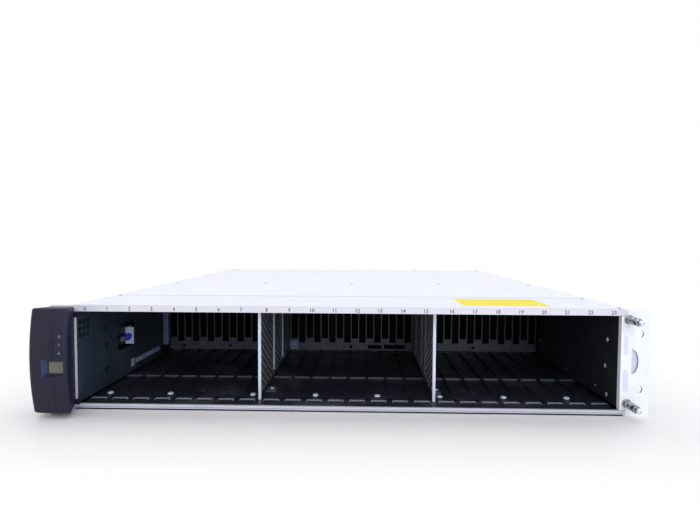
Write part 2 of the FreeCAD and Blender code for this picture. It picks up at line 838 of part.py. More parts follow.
def supply_fan(x0):
    """Fan rotor: a hub and slanting blades on the spindle."""
    x, z = x0 + fan_x, body_height / 2
    y = panel_y - fan_depth + fan_boss + inner_gap
    depth = fan_depth - fan_boss - 2 * inner_gap - blade_sheet
    section = [(blade_sheet, -blade_lean), (2 * blade_sheet, -blade_lean),
               (depth - blade_sheet, blade_lean), (depth - 2 * blade_sheet, blade_lean)]
    blades = []
    for k in range(fan_blades):
        blade = slab("x", fan_hub - blade_sheet, fan_radius - fan_hub, section)
        blade.rotate(FreeCAD.Vector(0, 0, 0), AXES["y"], 360.0 / fan_blades * (k + 0.25))
        blade.translate(FreeCAD.Vector(x, y, z))
        blades.append(blade)
    hub = slab("y", y, depth, polygon(x, z, fan_hub, 2 * fan_blades))
    return fused([hub, *blades]).cut(rod("y", pin_radius + pin_clearance, y, spindle_bore, x, z))


def supply_inlet(x0):
    """Shrouded mains inlet with a bare cavity and three flat pins."""
    x = x0 + inlet_x
    half, tall, wall = inlet_width / 2, inlet_height / 2, inlet_shell
    back = panel_y - inlet_depth
    shell = box(x - half - wall, x + half + wall, back - wall, panel_y,
                inlet_z - tall - wall, inlet_z + tall + wall)
    cavity = box(x - half, x + half, back, panel_y, inlet_z - tall, inlet_z + tall)
    pins = [box(x + dx - inlet_pin_half_width, x + dx + inlet_pin_half_width,
                back, panel_y - inlet_pin_recess,
                inlet_z + dz - inlet_pin_half_height, inlet_z + dz + inlet_pin_half_height)
            for dx, dz in inlet_pin_places]
    return fused([shell.cut(cavity), *pins])


def supply_rocker(x0):
    """Rocker switch cap, proud on one side, with ends rounded about the line it tilts on."""
    x = x0 + inlet_x
    half = rocker_half
    pressed, raised = panel_back + rocker_proud / 5, panel_back + rocker_proud
    profile = [(x - half, pressed), (x, panel_back + rocker_proud / 3), (x + half, raised),
               (x + half, raised - rocker_thickness), (x, panel_back - rocker_belly),
               (x - half, pressed - rocker_thickness)]
    low = rocker_z - rocker_height / 2
    sweep = rod("z", rocker_end_radius, low, rocker_height, x, panel_back - rocker_pivot_depth)
    return slab("z", low, rocker_height, profile).common(sweep)


def supply_bail(x0):
    """Wire bail that hangs in its ears and swings up to hold a plug in the inlet."""
    x, y, z = x0 + inlet_x, panel_back + bail_out, inlet_z + bail_rise
    inner, bend = bail_half - bail_stub, bail_half - bail_bend
    outline = [(inner, 0), (bend, 0), (bail_half, -bail_bend), (bail_half, bail_bend - bail_drop),
               (bend, -bail_drop)]
    outline += [(-a, b) for a, b in reversed(outline)]
    path = Part.makePolygon([FreeCAD.Vector(x + a, y, z + b) for a, b in outline])
    ring = [FreeCAD.Vector(x + inner, y + a, z + b) for a, b in polygon(0, 0, bail_wire, 8)]
    shell = Part.BRepOffsetAPI.MakePipeShell(path)
    shell.setTransitionMode(1)
    shell.add(Part.makePolygon(ring + ring[:1]))
    shell.build()
    shell.makeSolid()
    return shell.shape()


# --- Left end cap ----------------------------------------------------------------------------
def cap_outline(crown, inset=0.0):
    """The cap seen from above, crowned forwards and outwards by a share of its full crown."""
    front = inset - cap_depth - cap_crown * crown
    outer = inset - cap_outer_x - cap_side_crown * crown
    inner = -cap_front_x - inset
    return [(outer, 0), (outer, front + cap_corner_depth),
            (outer + cap_corner_width / 4, front + cap_corner_depth / 3),
            (outer + cap_corner_width, front + cap_brow), (-cap_ridge_x, front),
            (inner - cap_bevel_width, front + cap_brow), (inner, front + cap_bevel_depth),
            (-cap_rear_x - inset, 0)]


def cap_body():
    """The cap's outer form: its outline from above at several heights, with the crown in the middle."""
    rings = []
    for k in range(cap_spans + 1):
        share = 2 * k / cap_spans - 1
        height = cap_low + (cap_high - cap_low) * k / cap_spans
        rings.append([FreeCAD.Vector(x, y, height) for x, y in cap_outline(1 - share ** 2)])
    return faceted(rings)


def pocket_ring(y, outer, inner, flare):
    """The corners of the display pocket at a depth."""
    corners = [(-outer, pocket_low - flare), (-inner, pocket_low),
               (-inner, pocket_high), (-outer, pocket_high + flare)]
    return [FreeCAD.Vector(x, y, z) for x, z in corners]


def end_cap():
    """Moulded end cap over the left ear: hollow, with a display pocket and sockets for the ball studs."""
    outside = cap_body()
    inside = slab("z", cap_low + cap_wall, cap_high - cap_low - 2 * cap_wall, cap_outline(0, cap_wall))
    pocket = faceted([
        pocket_ring(cap_face_y - pocket_overcut, pocket_outer, pocket_inner, pocket_flare),
        pocket_ring(cap_face_y + display_depth, display_outer + pocket_overcut, display_inner, 0.0)])
    window = box(-display_outer, -display_inner, cap_face_y, 0, display_low, display_high)
    pieces = [outside.cut(inside)]
    bores = [pocket, window]
    for z in (stud_rise, stud_high_z):
        boss = polygon(-stud_x_capped, z, stud_barrel_radius + socket_wall, stud_sides)
        pieces.append(slab("y", cap_face_y + socket_start, socket_depth, boss).common(outside))
        bore = polygon(-stud_x_capped, z, stud_barrel_radius + inner_gap, stud_sides)
        bores.append(slab("y", -stud_length - inner_gap, stud_length, bore))
    for z in (cap_board_low + cap_post_inset, cap_board_high - cap_post_inset):
        pieces.append(slab("y", cap_inner_y, cap_board_y - cap_inner_y,
                           polygon(cap_post_inset - cap_board_outer, z, cap_post_radius)))
    lips = ((front_hem_height + inner_gap, cap_low + lip_low_height), (cap_high - lip_high_drop, liner_high))
    pieces += [box(-cap_rear_x - cap_wall / 2, lip_reach - cap_rear_x, -lip_depth, 0, low, high)
               for low, high in lips]
    return fused(pieces).cut(Part.makeCompound(bores))


def display_window():
    """Smoked window in the back of the pocket."""
    gap = window_clearance
    back = cap_face_y + display_depth + window_sheet
    return box(gap - display_outer, -display_inner - gap, cap_face_y + display_depth, back,
               display_low + gap, display_high - gap)


def digit_display():
    """Two digit display module on the cap's inner face, behind the window."""
    return box(digit_inset - display_outer, -display_inner - digit_inset, cap_inner_y + cap_brow, cap_board_y,
               display_low - digit_frame, display_high + digit_frame)


def operator_board():
    """Small board on the back of the display and on two posts in the cap."""
    return box(-cap_board_outer, -display_inner - digit_inset, cap_board_y, cap_board_y + cap_board_sheet,
               cap_board_low, cap_board_high)


def build():
    """Every sub-part by name."""
    parts = {
        "chassis_tray": chassis_tray(),
        "front_plate": front_plate(),
        "rear_cover": rear_cover(),
        "ear_left": ear(-1),
        "ear_right": ear(1),
        "ball_studs": ball_studs(),
        "floor_guide_front": floor_guide_front(),
        "floor_guide_rear": floor_guide_rear(),
        "ceiling_guide": ceiling_guide(),
        "divider_left": bay_divider(-divider_x),
        "divider_right": bay_divider(divider_x),
        "liner_left": liner(-1),
        "liner_right": liner(1),
        "wall_flange": wall_flange(),
        "latch_bracket": latch_bracket(),
        "latch_knob": latch_knob(),
        "stiffener": stiffener(),
        "midplane_board": midplane_board(),
        "drive_connectors": drive_connectors(),
        "module_connectors": module_connectors(),
        "rear_partition_left": rear_partition(-1),
        "rear_partition_right": rear_partition(1),
        "module_shelf": module_shelf(),
        "end_cap": end_cap(),
        "display_window": display_window(),
        "digit_display": digit_display(),
        "operator_board": operator_board(),
    }
    for name, level in MODULES.items():
        parts[f"module_case_{name}"] = module_case(level)
        parts[f"module_panel_{name}"] = module_panel(level)
        parts[f"module_lever_{name}"] = module_lever(level)
    for name, x0 in SUPPLIES.items():
        parts[f"supply_case_{name}"] = supply_case(x0)
        parts[f"supply_panel_{name}"] = supply_panel(x0)
        parts[f"supply_lever_{name}"] = supply_lever(x0)
        parts[f"supply_fan_{name}"] = supply_fan(x0)
        parts[f"supply_inlet_{name}"] = supply_inlet(x0)
        parts[f"supply_rocker_{name}"] = supply_rocker(x0)
        parts[f"supply_bail_{name}"] = supply_bail(x0)
    return parts


os.makedirs("parts", exist_ok=True)
for part_name, shape in build().items():
    shape.translate(FreeCAD.Vector(0, 0, -rack_centre_z))
    shape.exportStep(f"parts/{part_name}.step")
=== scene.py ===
"""A two-unit disk shelf: finishes, end cap, perforated dividers, small fittings, labels, light and floor."""
import json
import logging
import math
from dataclasses import dataclass
from enum import Enum
from typing import Dict, List, Optional, Sequence, Tuple

import bmesh
import bpy
from mathutils import Matrix, Vector

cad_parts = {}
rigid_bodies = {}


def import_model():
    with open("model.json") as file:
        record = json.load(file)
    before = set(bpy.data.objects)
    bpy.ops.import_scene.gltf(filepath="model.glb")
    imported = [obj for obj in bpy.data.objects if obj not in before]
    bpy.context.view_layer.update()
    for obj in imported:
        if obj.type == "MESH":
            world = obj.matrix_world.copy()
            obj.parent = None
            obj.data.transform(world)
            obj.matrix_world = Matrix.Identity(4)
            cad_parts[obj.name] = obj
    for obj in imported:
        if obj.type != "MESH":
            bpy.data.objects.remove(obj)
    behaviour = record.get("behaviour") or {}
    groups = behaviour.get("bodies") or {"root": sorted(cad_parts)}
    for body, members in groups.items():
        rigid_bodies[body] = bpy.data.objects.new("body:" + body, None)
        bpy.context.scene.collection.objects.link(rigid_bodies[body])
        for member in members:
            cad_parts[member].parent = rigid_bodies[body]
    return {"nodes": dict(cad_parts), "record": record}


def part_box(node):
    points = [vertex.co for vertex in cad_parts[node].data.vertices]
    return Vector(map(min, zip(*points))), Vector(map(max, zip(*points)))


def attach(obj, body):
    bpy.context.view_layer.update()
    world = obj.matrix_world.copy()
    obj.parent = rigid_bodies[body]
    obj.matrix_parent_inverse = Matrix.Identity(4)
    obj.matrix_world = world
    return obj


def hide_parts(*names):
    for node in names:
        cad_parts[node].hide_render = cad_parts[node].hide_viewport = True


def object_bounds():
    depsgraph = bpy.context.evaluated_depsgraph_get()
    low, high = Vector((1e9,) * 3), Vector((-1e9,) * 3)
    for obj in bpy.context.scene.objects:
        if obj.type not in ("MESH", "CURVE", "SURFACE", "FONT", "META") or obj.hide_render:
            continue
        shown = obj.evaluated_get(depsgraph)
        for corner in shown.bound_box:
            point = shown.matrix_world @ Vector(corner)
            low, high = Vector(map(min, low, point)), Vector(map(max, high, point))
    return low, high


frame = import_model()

CAD_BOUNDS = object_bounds()
UNDERSIDE = CAD_BOUNDS[0][2]
LOG = logging.getLogger("disk_shelf")
MM = 0.001
RGB = Tuple[float, float, float]
Point = Tuple[float, float, float]
Flat = Tuple[float, float]


def linear(red: float, green: float, blue: float) -> Tuple[float, float, float, float]:
    """A colour on the 0 to 255 scale as the linear colour that a shader takes.

    Args:
        red: Red on the display scale.
        green: Green on the display scale.
        blue: Blue on the display scale.

    Returns:
        The colour with full opacity.
    """
    def channel(level: float) -> float:
        """One channel from display to linear."""
        share = level / 255
        return share / 12.92 if share <= 0.04045 else ((share + 0.055) / 1.055) ** 2.4

    return channel(red), channel(green), channel(blue), 1.0


def bay_places() -> List[float]:
    """The middles of the drive bays across the shelf, from the record's mounts.

    Returns:
        The places in metres, from left to right.
    """
    mounts = frame["record"]["mounts"]
    return sorted(mount["pos_m"][0] for mount in mounts if mount["name"].startswith("bay_"))


# --- Node trees --------------------------------------------------------------------------------
class Value:
    """An output socket in a node tree, with the arithmetic that shaders use."""

    def __init__(self, tree: "Tree", socket: bpy.types.NodeSocket) -> None:
        """Keeps the tree and the socket."""
        self.tree = tree
        self.socket = socket

    def maths(self, operation: str, *others: "Operand") -> "Value":
        """A Math node on this value and others.

        Args:
            operation: The Math node's operation.
            others: The values for its other sockets.

        Returns:
            The result.
        """
        return self.tree.node("ShaderNodeMath", {"operation": operation}, dict(enumerate((self, *others))))

    def __add__(self, other: "Operand") -> "Value":
        """The sum."""
        return self.maths("ADD", other)

    __radd__ = __add__

    def __sub__(self, other: "Operand") -> "Value":
        """The difference."""
        return self.maths("SUBTRACT", other)

    def __rsub__(self, other: "Operand") -> "Value":
        """The difference, the other way round."""
        return self.tree.node("ShaderNodeMath", {"operation": "SUBTRACT"}, {0: other, 1: self})

    def __mul__(self, other: "Operand") -> "Value":
        """The product."""
        return self.maths("MULTIPLY", other)

    __rmul__ = __mul__

    def __truediv__(self, other: "Operand") -> "Value":
        """The quotient."""
        return self.maths("DIVIDE", other)

    def __gt__(self, other: "Operand") -> "Value":
        """One where this value is greater, else zero."""
        return self.maths("GREATER_THAN", other)

    def within(self, low: float, high: float) -> "Value":
        """This value taken linearly from a stretch to 0 to 1, and held there.

        Args:
            low: What becomes 0.
            high: What becomes 1.

        Returns:
            The scaled value.
        """
        return self.tree.node("ShaderNodeMapRange", {"clamp": True},
                              {0: self, 1: low, 2: high, 3: 0.0, 4: 1.0})


Operand = float | Value


class Tree:
    """A node tree and one way to add to it."""

    def __init__(self, tree: bpy.types.NodeTree) -> None:
        """Starts from an empty tree."""
        self.tree = tree
        self.tree.nodes.clear()

    def node(self, kind: str, settings: Optional[Dict[str, object]] = None,
             sockets: Optional[Dict[object, object]] = None, output: object = 0) -> Value:
        """Adds a node.

        Args:
            kind: The node's type.
            settings: Properties of the node, set before its sockets.
            sockets: Socket name or number to a value, or to the output that it is linked to.
            output: The output wanted.

        Returns:
            That output, or the node itself wrapped when it has none.
        """
        node = self.tree.nodes.new(kind)
        for name, setting in (settings or {}).items():
            setattr(node, name, setting)
        for name, value in (sockets or {}).items():
            socket = node.inputs[name]
            for item in value if isinstance(value, list) else [value]:
                if isinstance(item, Value):
                    self.tree.links.new(item.socket, socket)
                else:
                    socket.default_value = item
        return Value(self, node.outputs[output] if len(node.outputs) else node)


class Shader(Tree):
    """A material's tree."""

    def __init__(self, name: str) -> None:
        """Makes the material.

        Args:
            name: The material's name.
        """
        self.material = bpy.data.materials.new(name)
        self.material.use_nodes = True
        super().__init__(self.material.node_tree)

    def place(self, scale: Point = (1.0, 1.0, 1.0)) -> Value:
        """Object coordinates, stretched.

        Args:
            scale: The stretch along each axis.

        Returns:
            The coordinates.
        """
        coordinates = self.node("ShaderNodeTexCoord", output="Object")
        return self.node("ShaderNodeMapping", sockets={"Vector": coordinates, "Scale": scale})

    def noise(self, place: Value, scale: float, detail: float = 4.0, rough: float = 0.5) -> Value:
        """Fractal noise.

        Args:
            place: Where it is read.
            scale: Features per metre.
            detail: Octaves.
            rough: How strong the finer ones are.

        Returns:
            The noise, about 0.2 to 0.8.
        """
        return self.node("ShaderNodeTexNoise",
                         sockets={"Vector": place, "Scale": scale, "Detail": detail, "Roughness": rough})

    def along(self, axis: int) -> Value:
        """The object coordinate along an axis.

        Args:
            axis: 0, 1 or 2.

        Returns:
            The coordinate in metres.
        """
        return self.node("ShaderNodeSeparateXYZ", sockets={0: self.place()}, output=axis)

    def facing(self, axis: int) -> Value:
        """How far a face looks along an axis, whichever way.

        Args:
            axis: 0, 1 or 2.

        Returns:
            0 to 1.
        """
        normal = self.node("ShaderNodeTexCoord", output="Normal")
        return self.node("ShaderNodeSeparateXYZ", sockets={0: normal}, output=axis).maths("ABSOLUTE")

    def blend(self, factor: Operand, first: object, second: object) -> Value:
        """A colour between two.

        Args:
            factor: 0 for the first and 1 for the second.
            first: A colour or its output.
            second: A colour or its output.

        Returns:
            The colour.
        """
        return self.node("ShaderNodeMix", {"data_type": "RGBA"}, {0: factor, 6: first, 7: second}, output=2)

    def surface(self, **sockets: object) -> bpy.types.Material:
        """Ends the tree in a Principled surface.

        Args:
            sockets: The surface's sockets, with underscores for blanks.

        Returns:
            The material.
        """
        named = {name.replace("_", " "): value for name, value in sockets.items()}
        shader = self.node("ShaderNodeBsdfPrincipled", sockets=named)
        self.node("ShaderNodeOutputMaterial", sockets={"Surface": shader})
        return self.material


# --- Finishes ----------------------------------------------------------------------------------
BROAD_RATIO = 12
GRAIN_BAND = (0.35, 0.65)
DUST_COLOUR = (150, 150, 160)
DUST_SCALE = 22.0
DUST_BAND = (0.52, 0.75)
SCRATCH_STRETCH = (1.0, 0.04, 0.3)
SCRATCH_SCALE = 420.0
SCRATCH_BAND = (0.68, 0.74)
SCRATCH_LIFT = 60
FACING_LIMIT = 0.6


@dataclass(frozen=True)
class Finish:
    """A surface with a grain: two near colours, a roughness that varies, fine relief and wear.

    An edge colour, painted light or shade, covers the faces that look along the edge axis, within
    a reach measured from the shelf's middle. A front colour covers what lies in front of a depth.
    """

    name: str
    colour: RGB
    shade: RGB
    roughness: float = 0.4
    metallic: float = 0.0
    grain: float = 300.0
    stretch: Point = (1.0, 1.0, 1.0)
    relief: float = 0.05
    relief_depth: float = 0.0001
    dust: float = 0.0
    coat: float = 0.0
    wear: float = 0.0
    specular: float = 0.5
    edge: Optional[RGB] = None
    edge_axis: int = 0
    edge_reach: Flat = (0.0, 10.0)
    front: Optional[RGB] = None
    front_depth: float = 0.0

    def material(self) -> bpy.types.Material:
        """Builds the material, or gives the one that is there.

        Returns:
            The material.
        """
        known = bpy.data.materials.get(self.name)
        if known:
            return known
        shader = Shader(self.name)
        place = shader.place(self.stretch)
        fine = shader.noise(place, self.grain, 6.0, 0.6)
        broad = shader.noise(place, self.grain / BROAD_RATIO, 3.0)
        colour = shader.blend(fine.within(*GRAIN_BAND), linear(*self.colour), linear(*self.shade))
        roughness = self.roughness + (broad - 0.5) * 0.25 + (fine - 0.5) * 0.1
        if self.dust:
            patch = shader.noise(shader.place(), DUST_SCALE, 5.0, 0.65).within(*DUST_BAND)
            colour = shader.blend(patch * self.dust, colour, linear(*DUST_COLOUR))
            roughness = roughness + patch * self.dust
        if self.wear:
            mark = shader.noise(shader.place(SCRATCH_STRETCH), SCRATCH_SCALE, 2.0).within(*SCRATCH_BAND)
            lifted = (min(255, SCRATCH_LIFT + level) for level in self.colour)
            colour = shader.blend(mark * self.wear, colour, linear(*lifted))
            roughness = roughness - mark * 0.12
        # Painted light or shade: faces that look along one axis take another colour.
        if self.edge:
            near, far = self.edge_reach
            across = shader.along(0).maths("ABSOLUTE")
            side = (shader.facing(self.edge_axis) > FACING_LIMIT) * (across > near) * (far - across > 0.0)
            colour = shader.blend(side, colour, linear(*self.edge))
        if self.front:
            colour = shader.blend(self.front_depth - shader.along(1) > 0.0, colour, linear(*self.front))
        bump = shader.node("ShaderNodeBump", sockets={
            "Strength": self.relief, "Distance": self.relief_depth, "Height": fine})
        return shader.surface(Base_Color=colour, Roughness=roughness, Metallic=self.metallic,
                              Specular_IOR_Level=self.specular, Normal=bump, Coat_Weight=self.coat)


# Plated and bare sheet
ZINC = Finish("zinc_plate", (196, 200, 208), (172, 178, 188), 0.42, 0.7, 180.0, (1, 0.25, 1), wear=0.3)
# The tray's sideways faces inside the shelf are drawn near-black: painted shade.
SILL = Finish("tray_zinc", (214, 216, 226), (198, 202, 214), 0.42, 0.2, 180.0, (0.2, 1, 1), wear=0.3,
              edge=(9, 10, 13), edge_reach=(0.0, 222.35 * MM))
CASE = Finish("case_zinc", (34, 36, 42), (26, 28, 33), 0.6, 0.2, 180.0, (1, 0.25, 1), specular=0.02)
BRIGHT = Finish("bright_zinc", (238, 243, 255), (222, 230, 250), 0.4, 0.1, 220.0, (1, 1, 0.2), 0.04)
# Lit and shaded copies of the ribs' zinc: the first is painted highlight, the second painted shade.
RIB = Finish("blue_zinc", (196, 208, 240), (174, 188, 226), 0.45, 0.1, 220.0, (1, 1, 0.2), 0.04)
RIB_PAINTED_SHADE = Finish("rib_in_shade", (104, 110, 126), (88, 94, 112), 0.45, 0.1, 220.0, (1, 1, 0.2), 0.04)
WEB = Finish("divider_sheet", (96, 95, 98), (80, 80, 86), 0.45, 0.2, 240.0, (1, 1, 0.3), 0.06, dust=0.1)
# The divider's borders: a near-black copy of its sheet, painted shade.
BORDER = Finish("divider_border", (30, 30, 35), (22, 22, 27), 0.5, 0.1, 240.0, (1, 1, 0.3), 0.06)
STRAP = Finish("bracket_steel", (226, 240, 255), (206, 226, 255), 0.4, 0.0, 200.0, (1, 1, 0.3), wear=0.3)
FLANGE = Finish("dull_zinc", (140, 154, 192), (122, 136, 176), 0.5, 0.2, 200.0, (1, 1, 0.3), wear=0.2)
NOTCH = Finish("notch_edge", (158, 164, 180), (134, 141, 158), 0.4, 0.1, 400.0, relief=0.1)
STUD = Finish("stud_steel", (84, 96, 104), (52, 62, 70), 0.28, 0.8, 700.0, relief=0.1, wear=0.2)
STUD_BRIGHT = Finish("stud_plate", (240, 245, 252), (216, 223, 238), 0.28, 0.5, 500.0)

# Painted and coated sheet
# Faces of the front plate that look forward or back are a little darker: painted shade.
FRONT_TOP = Finish("lavender_steel", (240, 242, 250), (232, 234, 246), 0.32, 0.0, 150.0, (0.15, 1, 1), 0.04,
                   wear=0.25, edge=(227, 226, 233), edge_axis=1)
WHITE_TOP = Finish("pale_steel", (246, 246, 250), (238, 239, 245), 0.45, 0.1, 120.0, (1, 0.2, 1), 0.04,
                   wear=0.2)
# The ears' sideways faces, the walls of their holes, take a darker blue: painted shade.
EAR = Finish("ear_steel", (252, 253, 255), (245, 247, 254), 0.42, 0.0, 200.0, (1, 1, 0.3), 0.04, wear=0.2,
             edge=(128, 136, 168), edge_reach=(0.2262, 0.2405))
BLACK = Finish("black_coat", (33, 34, 44), (46, 48, 61), grain=500.0, relief=0.15, relief_depth=0.00008,
               dust=0.2, wear=0.15)
# The rear floor guide's faces that look forward or back, its step and rib ends, are lighter: painted
# highlight.
STEP = Finish("black_step", (28, 29, 38), (40, 42, 54), grain=500.0, relief=0.15, relief_depth=0.00008,
              dust=0.2, wear=0.15, edge=(84, 90, 108), edge_axis=1)
CEILING = Finish("ceiling_coat", (14, 14, 17), (20, 20, 25), 0.5, grain=500.0, relief=0.12, specular=0.2)
# The stiffener's sideways faces, the walls of its slots, are lighter: painted highlight.
PLATE = Finish("stiffener_coat", (74, 79, 92), (86, 91, 105), 0.42, 0.1, 400.0, (1, 1, 0.3), 0.1, 0.00008,
               dust=0.08, edge=(176, 184, 204))
BLACK_WALL = Finish("black_wall", (31, 32, 41), (43, 44, 55), 0.5, grain=500.0, relief=0.12,
                    relief_depth=0.00008, dust=0.08)
# The left wall: a dark sheet drawn blue-grey and lighter than the right wall, painted reflection of the
# surroundings.
LEFT_WALL_WITH_REFLECTION = Finish("blue_grey_wall", (54, 65, 80), (64, 76, 93), 0.42, 0.1, 260.0, relief=0.08, dust=0.1,
                   wear=0.2)
# Near-black: painted shade in recesses, holes and vents, and painted shadow under the notches and along the
# sill's foot; the cap's small dots take it too.
PAINTED_SHADE = Finish("recess_dark", (14, 14, 18), (22, 22, 28), 0.6, grain=900.0, specular=0.2)
# Pale lilac plate behind the ears' windows: painted shade of what lies beyond the hole.
WINDOW_SHADE = Finish("lilac_backing", (224, 226, 242), (215, 218, 238), 0.5)

# Plastics and boards
# The cap's inner side faces take a bluer colour: painted light.
CAP = Finish("purple_grey_plastic", (35, 34, 49), (42, 41, 57), 0.5, grain=1500.0, relief=0.35,
             relief_depth=0.00012, specular=0.2, edge=(40, 41, 70), edge_reach=(210.5 * MM, 222.6 * MM))
# Lit and shaded copies of the cap plastic: the pocket's left facet lighter and bluer, painted light; the
# inside, the pocket's other faces and the cut faces darker, painted shade.
POCKET_LIT_FACET = Finish("pocket_plastic", (56, 60, 100), (62, 67, 110), grain=1200.0, relief=0.2, specular=0.3)
CAP_SHADE = Finish("cap_inside", (30, 29, 38), (36, 35, 45), 0.6, grain=900.0, relief=0.2)
WINDOW = Finish("smoked_window", (92, 90, 82), (106, 103, 92), 0.25, grain=90.0, relief=0.02, coat=0.3)
KNOB = Finish("blue_plastic", (38, 50, 236), (52, 68, 252), 0.35, grain=600.0, coat=0.3,
              front=(104, 112, 126), front_depth=82.6 * MM)
BOARD = Finish("board_green", (8, 15, 15), (12, 21, 20), 0.5, grain=900.0, relief=0.2, specular=0.02)
CONNECTOR = Finish("black_nylon", (12, 12, 14), (18, 18, 21), 0.5, grain=600.0, relief=0.1, specular=0.05)
DISPLAY = Finish("display_face", (40, 16, 18), (52, 22, 24), 0.2, relief=0.02)
LEVER = Finish("plum_plastic", (112, 40, 84), (126, 50, 96), grain=900.0, relief=0.2, wear=0.2)
FAN = Finish("fan_black", (22, 22, 24), (30, 30, 33), 0.45, grain=500.0, relief=0.1)
LAMP_GREEN = Finish("lamp_lens", (60, 150, 84), (80, 170, 100), 0.2, relief=0.02, coat=0.5)

# Labels and print
WALL_PAPER = Finish("wall_label_paper", (214, 226, 255), (150, 162, 216), 0.6, grain=260.0)
PAPER = Finish("label_paper", (232, 235, 252), (220, 224, 247), 0.6, grain=500.0)
YELLOW = Finish("yellow_label", (250, 232, 44), (244, 222, 30), 0.55)
# Grey ink for print and seams, also the painted shadow line along the front fold.
INK_AND_SHADE = Finish("grey_ink", (84, 82, 104), (100, 98, 120), 0.6, grain=900.0, relief=0.02)
PRINT = Finish("pale_print", (118, 122, 140), (136, 140, 158), 0.6, grain=900.0, relief=0.02)


# --- Mesh tools --------------------------------------------------------------------------------
def piece(name: str, mesh: bpy.types.Mesh, finish: Finish, body: str, slot: str) -> bpy.types.Object:
    """Makes an object from a mesh, dresses it and fixes it to a body.

    Args:
        name: The piece's name.
        mesh: Its mesh, in place.
        finish: Its finish, unless the mesh already has its own.
        body: The body that carries it.
        slot: The record's material slot that it belongs to; not used.

    Returns:
        The object.
    """
    thing = bpy.data.objects.new(name, mesh)
    bpy.context.scene.collection.objects.link(thing)
    if not mesh.materials:
        mesh.materials.append(finish.material())
    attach(thing, body)
    LOG.info("%s: %d faces on %s", name, len(mesh.polygons), body)
    return thing


def shaded(mesh: bpy.types.Mesh, smooth: float) -> bpy.types.Mesh:
    """Shades edges smooth up to an angle.

    Args:
        mesh: The mesh.
        smooth: The angle in degrees, or 0 for flat faces.

    Returns:
        The same mesh.
    """
    if smooth:
        mesh.shade_smooth()
        mesh.set_sharp_from_angle(angle=math.radians(smooth))
    return mesh


def mesh_of(bm: bmesh.types.BMesh, name: str, smooth: float = 0.0) -> bpy.types.Mesh:
    """Turns a bmesh into a mesh with its faces outwards.

    Args:
        bm: The bmesh, freed here.
        name: The mesh's name.
        smooth: The angle in degrees up to which an edge is shaded smooth.

    Returns:
        The mesh.
    """
    bmesh.ops.recalc_face_normals(bm, faces=bm.faces)
    mesh = bpy.data.meshes.new(name)
    bm.to_mesh(mesh)
    bm.free()
    return shaded(mesh, smooth)


def add_box(bm: bmesh.types.BMesh, low: Point, high: Point, bevel: float = 0.0) -> None:
    """Adds a block with softened edges.

    Args:
        bm: Where it goes.
        low: Its lowest corner.
        high: Its highest corner.
        bevel: The width of the edges' softening.
    """
    middle = (Vector(low) + Vector(high)) / 2
    size = Vector(high) - Vector(low)
    matrix = Matrix.Translation(middle) @ Matrix.Diagonal((*size, 1.0))
    made = bmesh.ops.create_cube(bm, size=1.0, matrix=matrix)
    if bevel:
        edges = list(dict.fromkeys(edge for vert in made["verts"] for edge in vert.link_edges))
        bmesh.ops.bevel(bm, geom=edges, offset=bevel, segments=2, affect="EDGES")


def blocks(name: str, spans: Sequence[Tuple[Point, Point]], bevel: float = 0.0,
           smooth: float = 0.0) -> bpy.types.Mesh:
    """A mesh of blocks.

    Args:
        name: The mesh's name.
        spans: The lowest and highest corner of each block.
        bevel: The width of their edges' softening.
        smooth: The angle in degrees up to which an edge is shaded smooth.

    Returns:
        The mesh.
    """
    bm = bmesh.new()
    for low, high in spans:
        add_box(bm, low, high, bevel)
    return mesh_of(bm, name, smooth)


def add_rings(bm: bmesh.types.BMesh, rings: Sequence[Sequence[Point]]) -> None:
    """Adds a solid through rings with the same number of points.

    Args:
        bm: Where it goes.
        rings: The rings from one end to the other.
    """
    layers = [[bm.verts.new(point) for point in ring] for ring in rings]
    for lower, upper in zip(layers, layers[1:]):
        for k, vert in enumerate(lower):
            bm.faces.new((lower[k - 1], vert, upper[k], upper[k - 1]))
    bm.faces.new(layers[0])
    bm.faces.new(layers[-1])


def add_plate(bm: bmesh.types.BMesh, outline: Sequence[Point], push: Point) -> None:
    """Adds a flat plate.

    Args:
        bm: Where it goes.
        outline: The corners of one face.
        push: From that face to the other.
    """
    add_rings(bm, [outline, [Vector(corner) + Vector(push) for corner in outline]])


def plate(name: str, outline: Sequence[Point], push: Point) -> bpy.types.Mesh:
    """One flat plate as a mesh, from the corners of one face and the way to the other."""
    bm = bmesh.new()
    add_plate(bm, outline, push)
    return mesh_of(bm, name)


def rounded(a0: float, a1: float, b0: float, b1: float, radius: float, steps: int = 4) -> List[Flat]:
    """The corners of a rectangle with round corners.

    Args:
        a0: Lowest first coordinate.
        a1: Highest first coordinate.
        b0: Lowest second coordinate.
        b1: Highest second coordinate.
        radius: The corners' radius.
        steps: Facets in each corner.

    Returns:
        The points in turn.
    """
    points = []
    for a, b, start in ((a1, b1, 0), (a0, b1, 90), (a0, b0, 180), (a1, b0, 270)):
        centre_a = a - radius if a == a1 else a + radius
        centre_b = b - radius if b == b1 else b + radius
        for step in range(steps + 1):
            angle = math.radians(start + 90 * step / steps)
            points.append((centre_a + radius * math.cos(angle), centre_b + radius * math.sin(angle)))
    return points


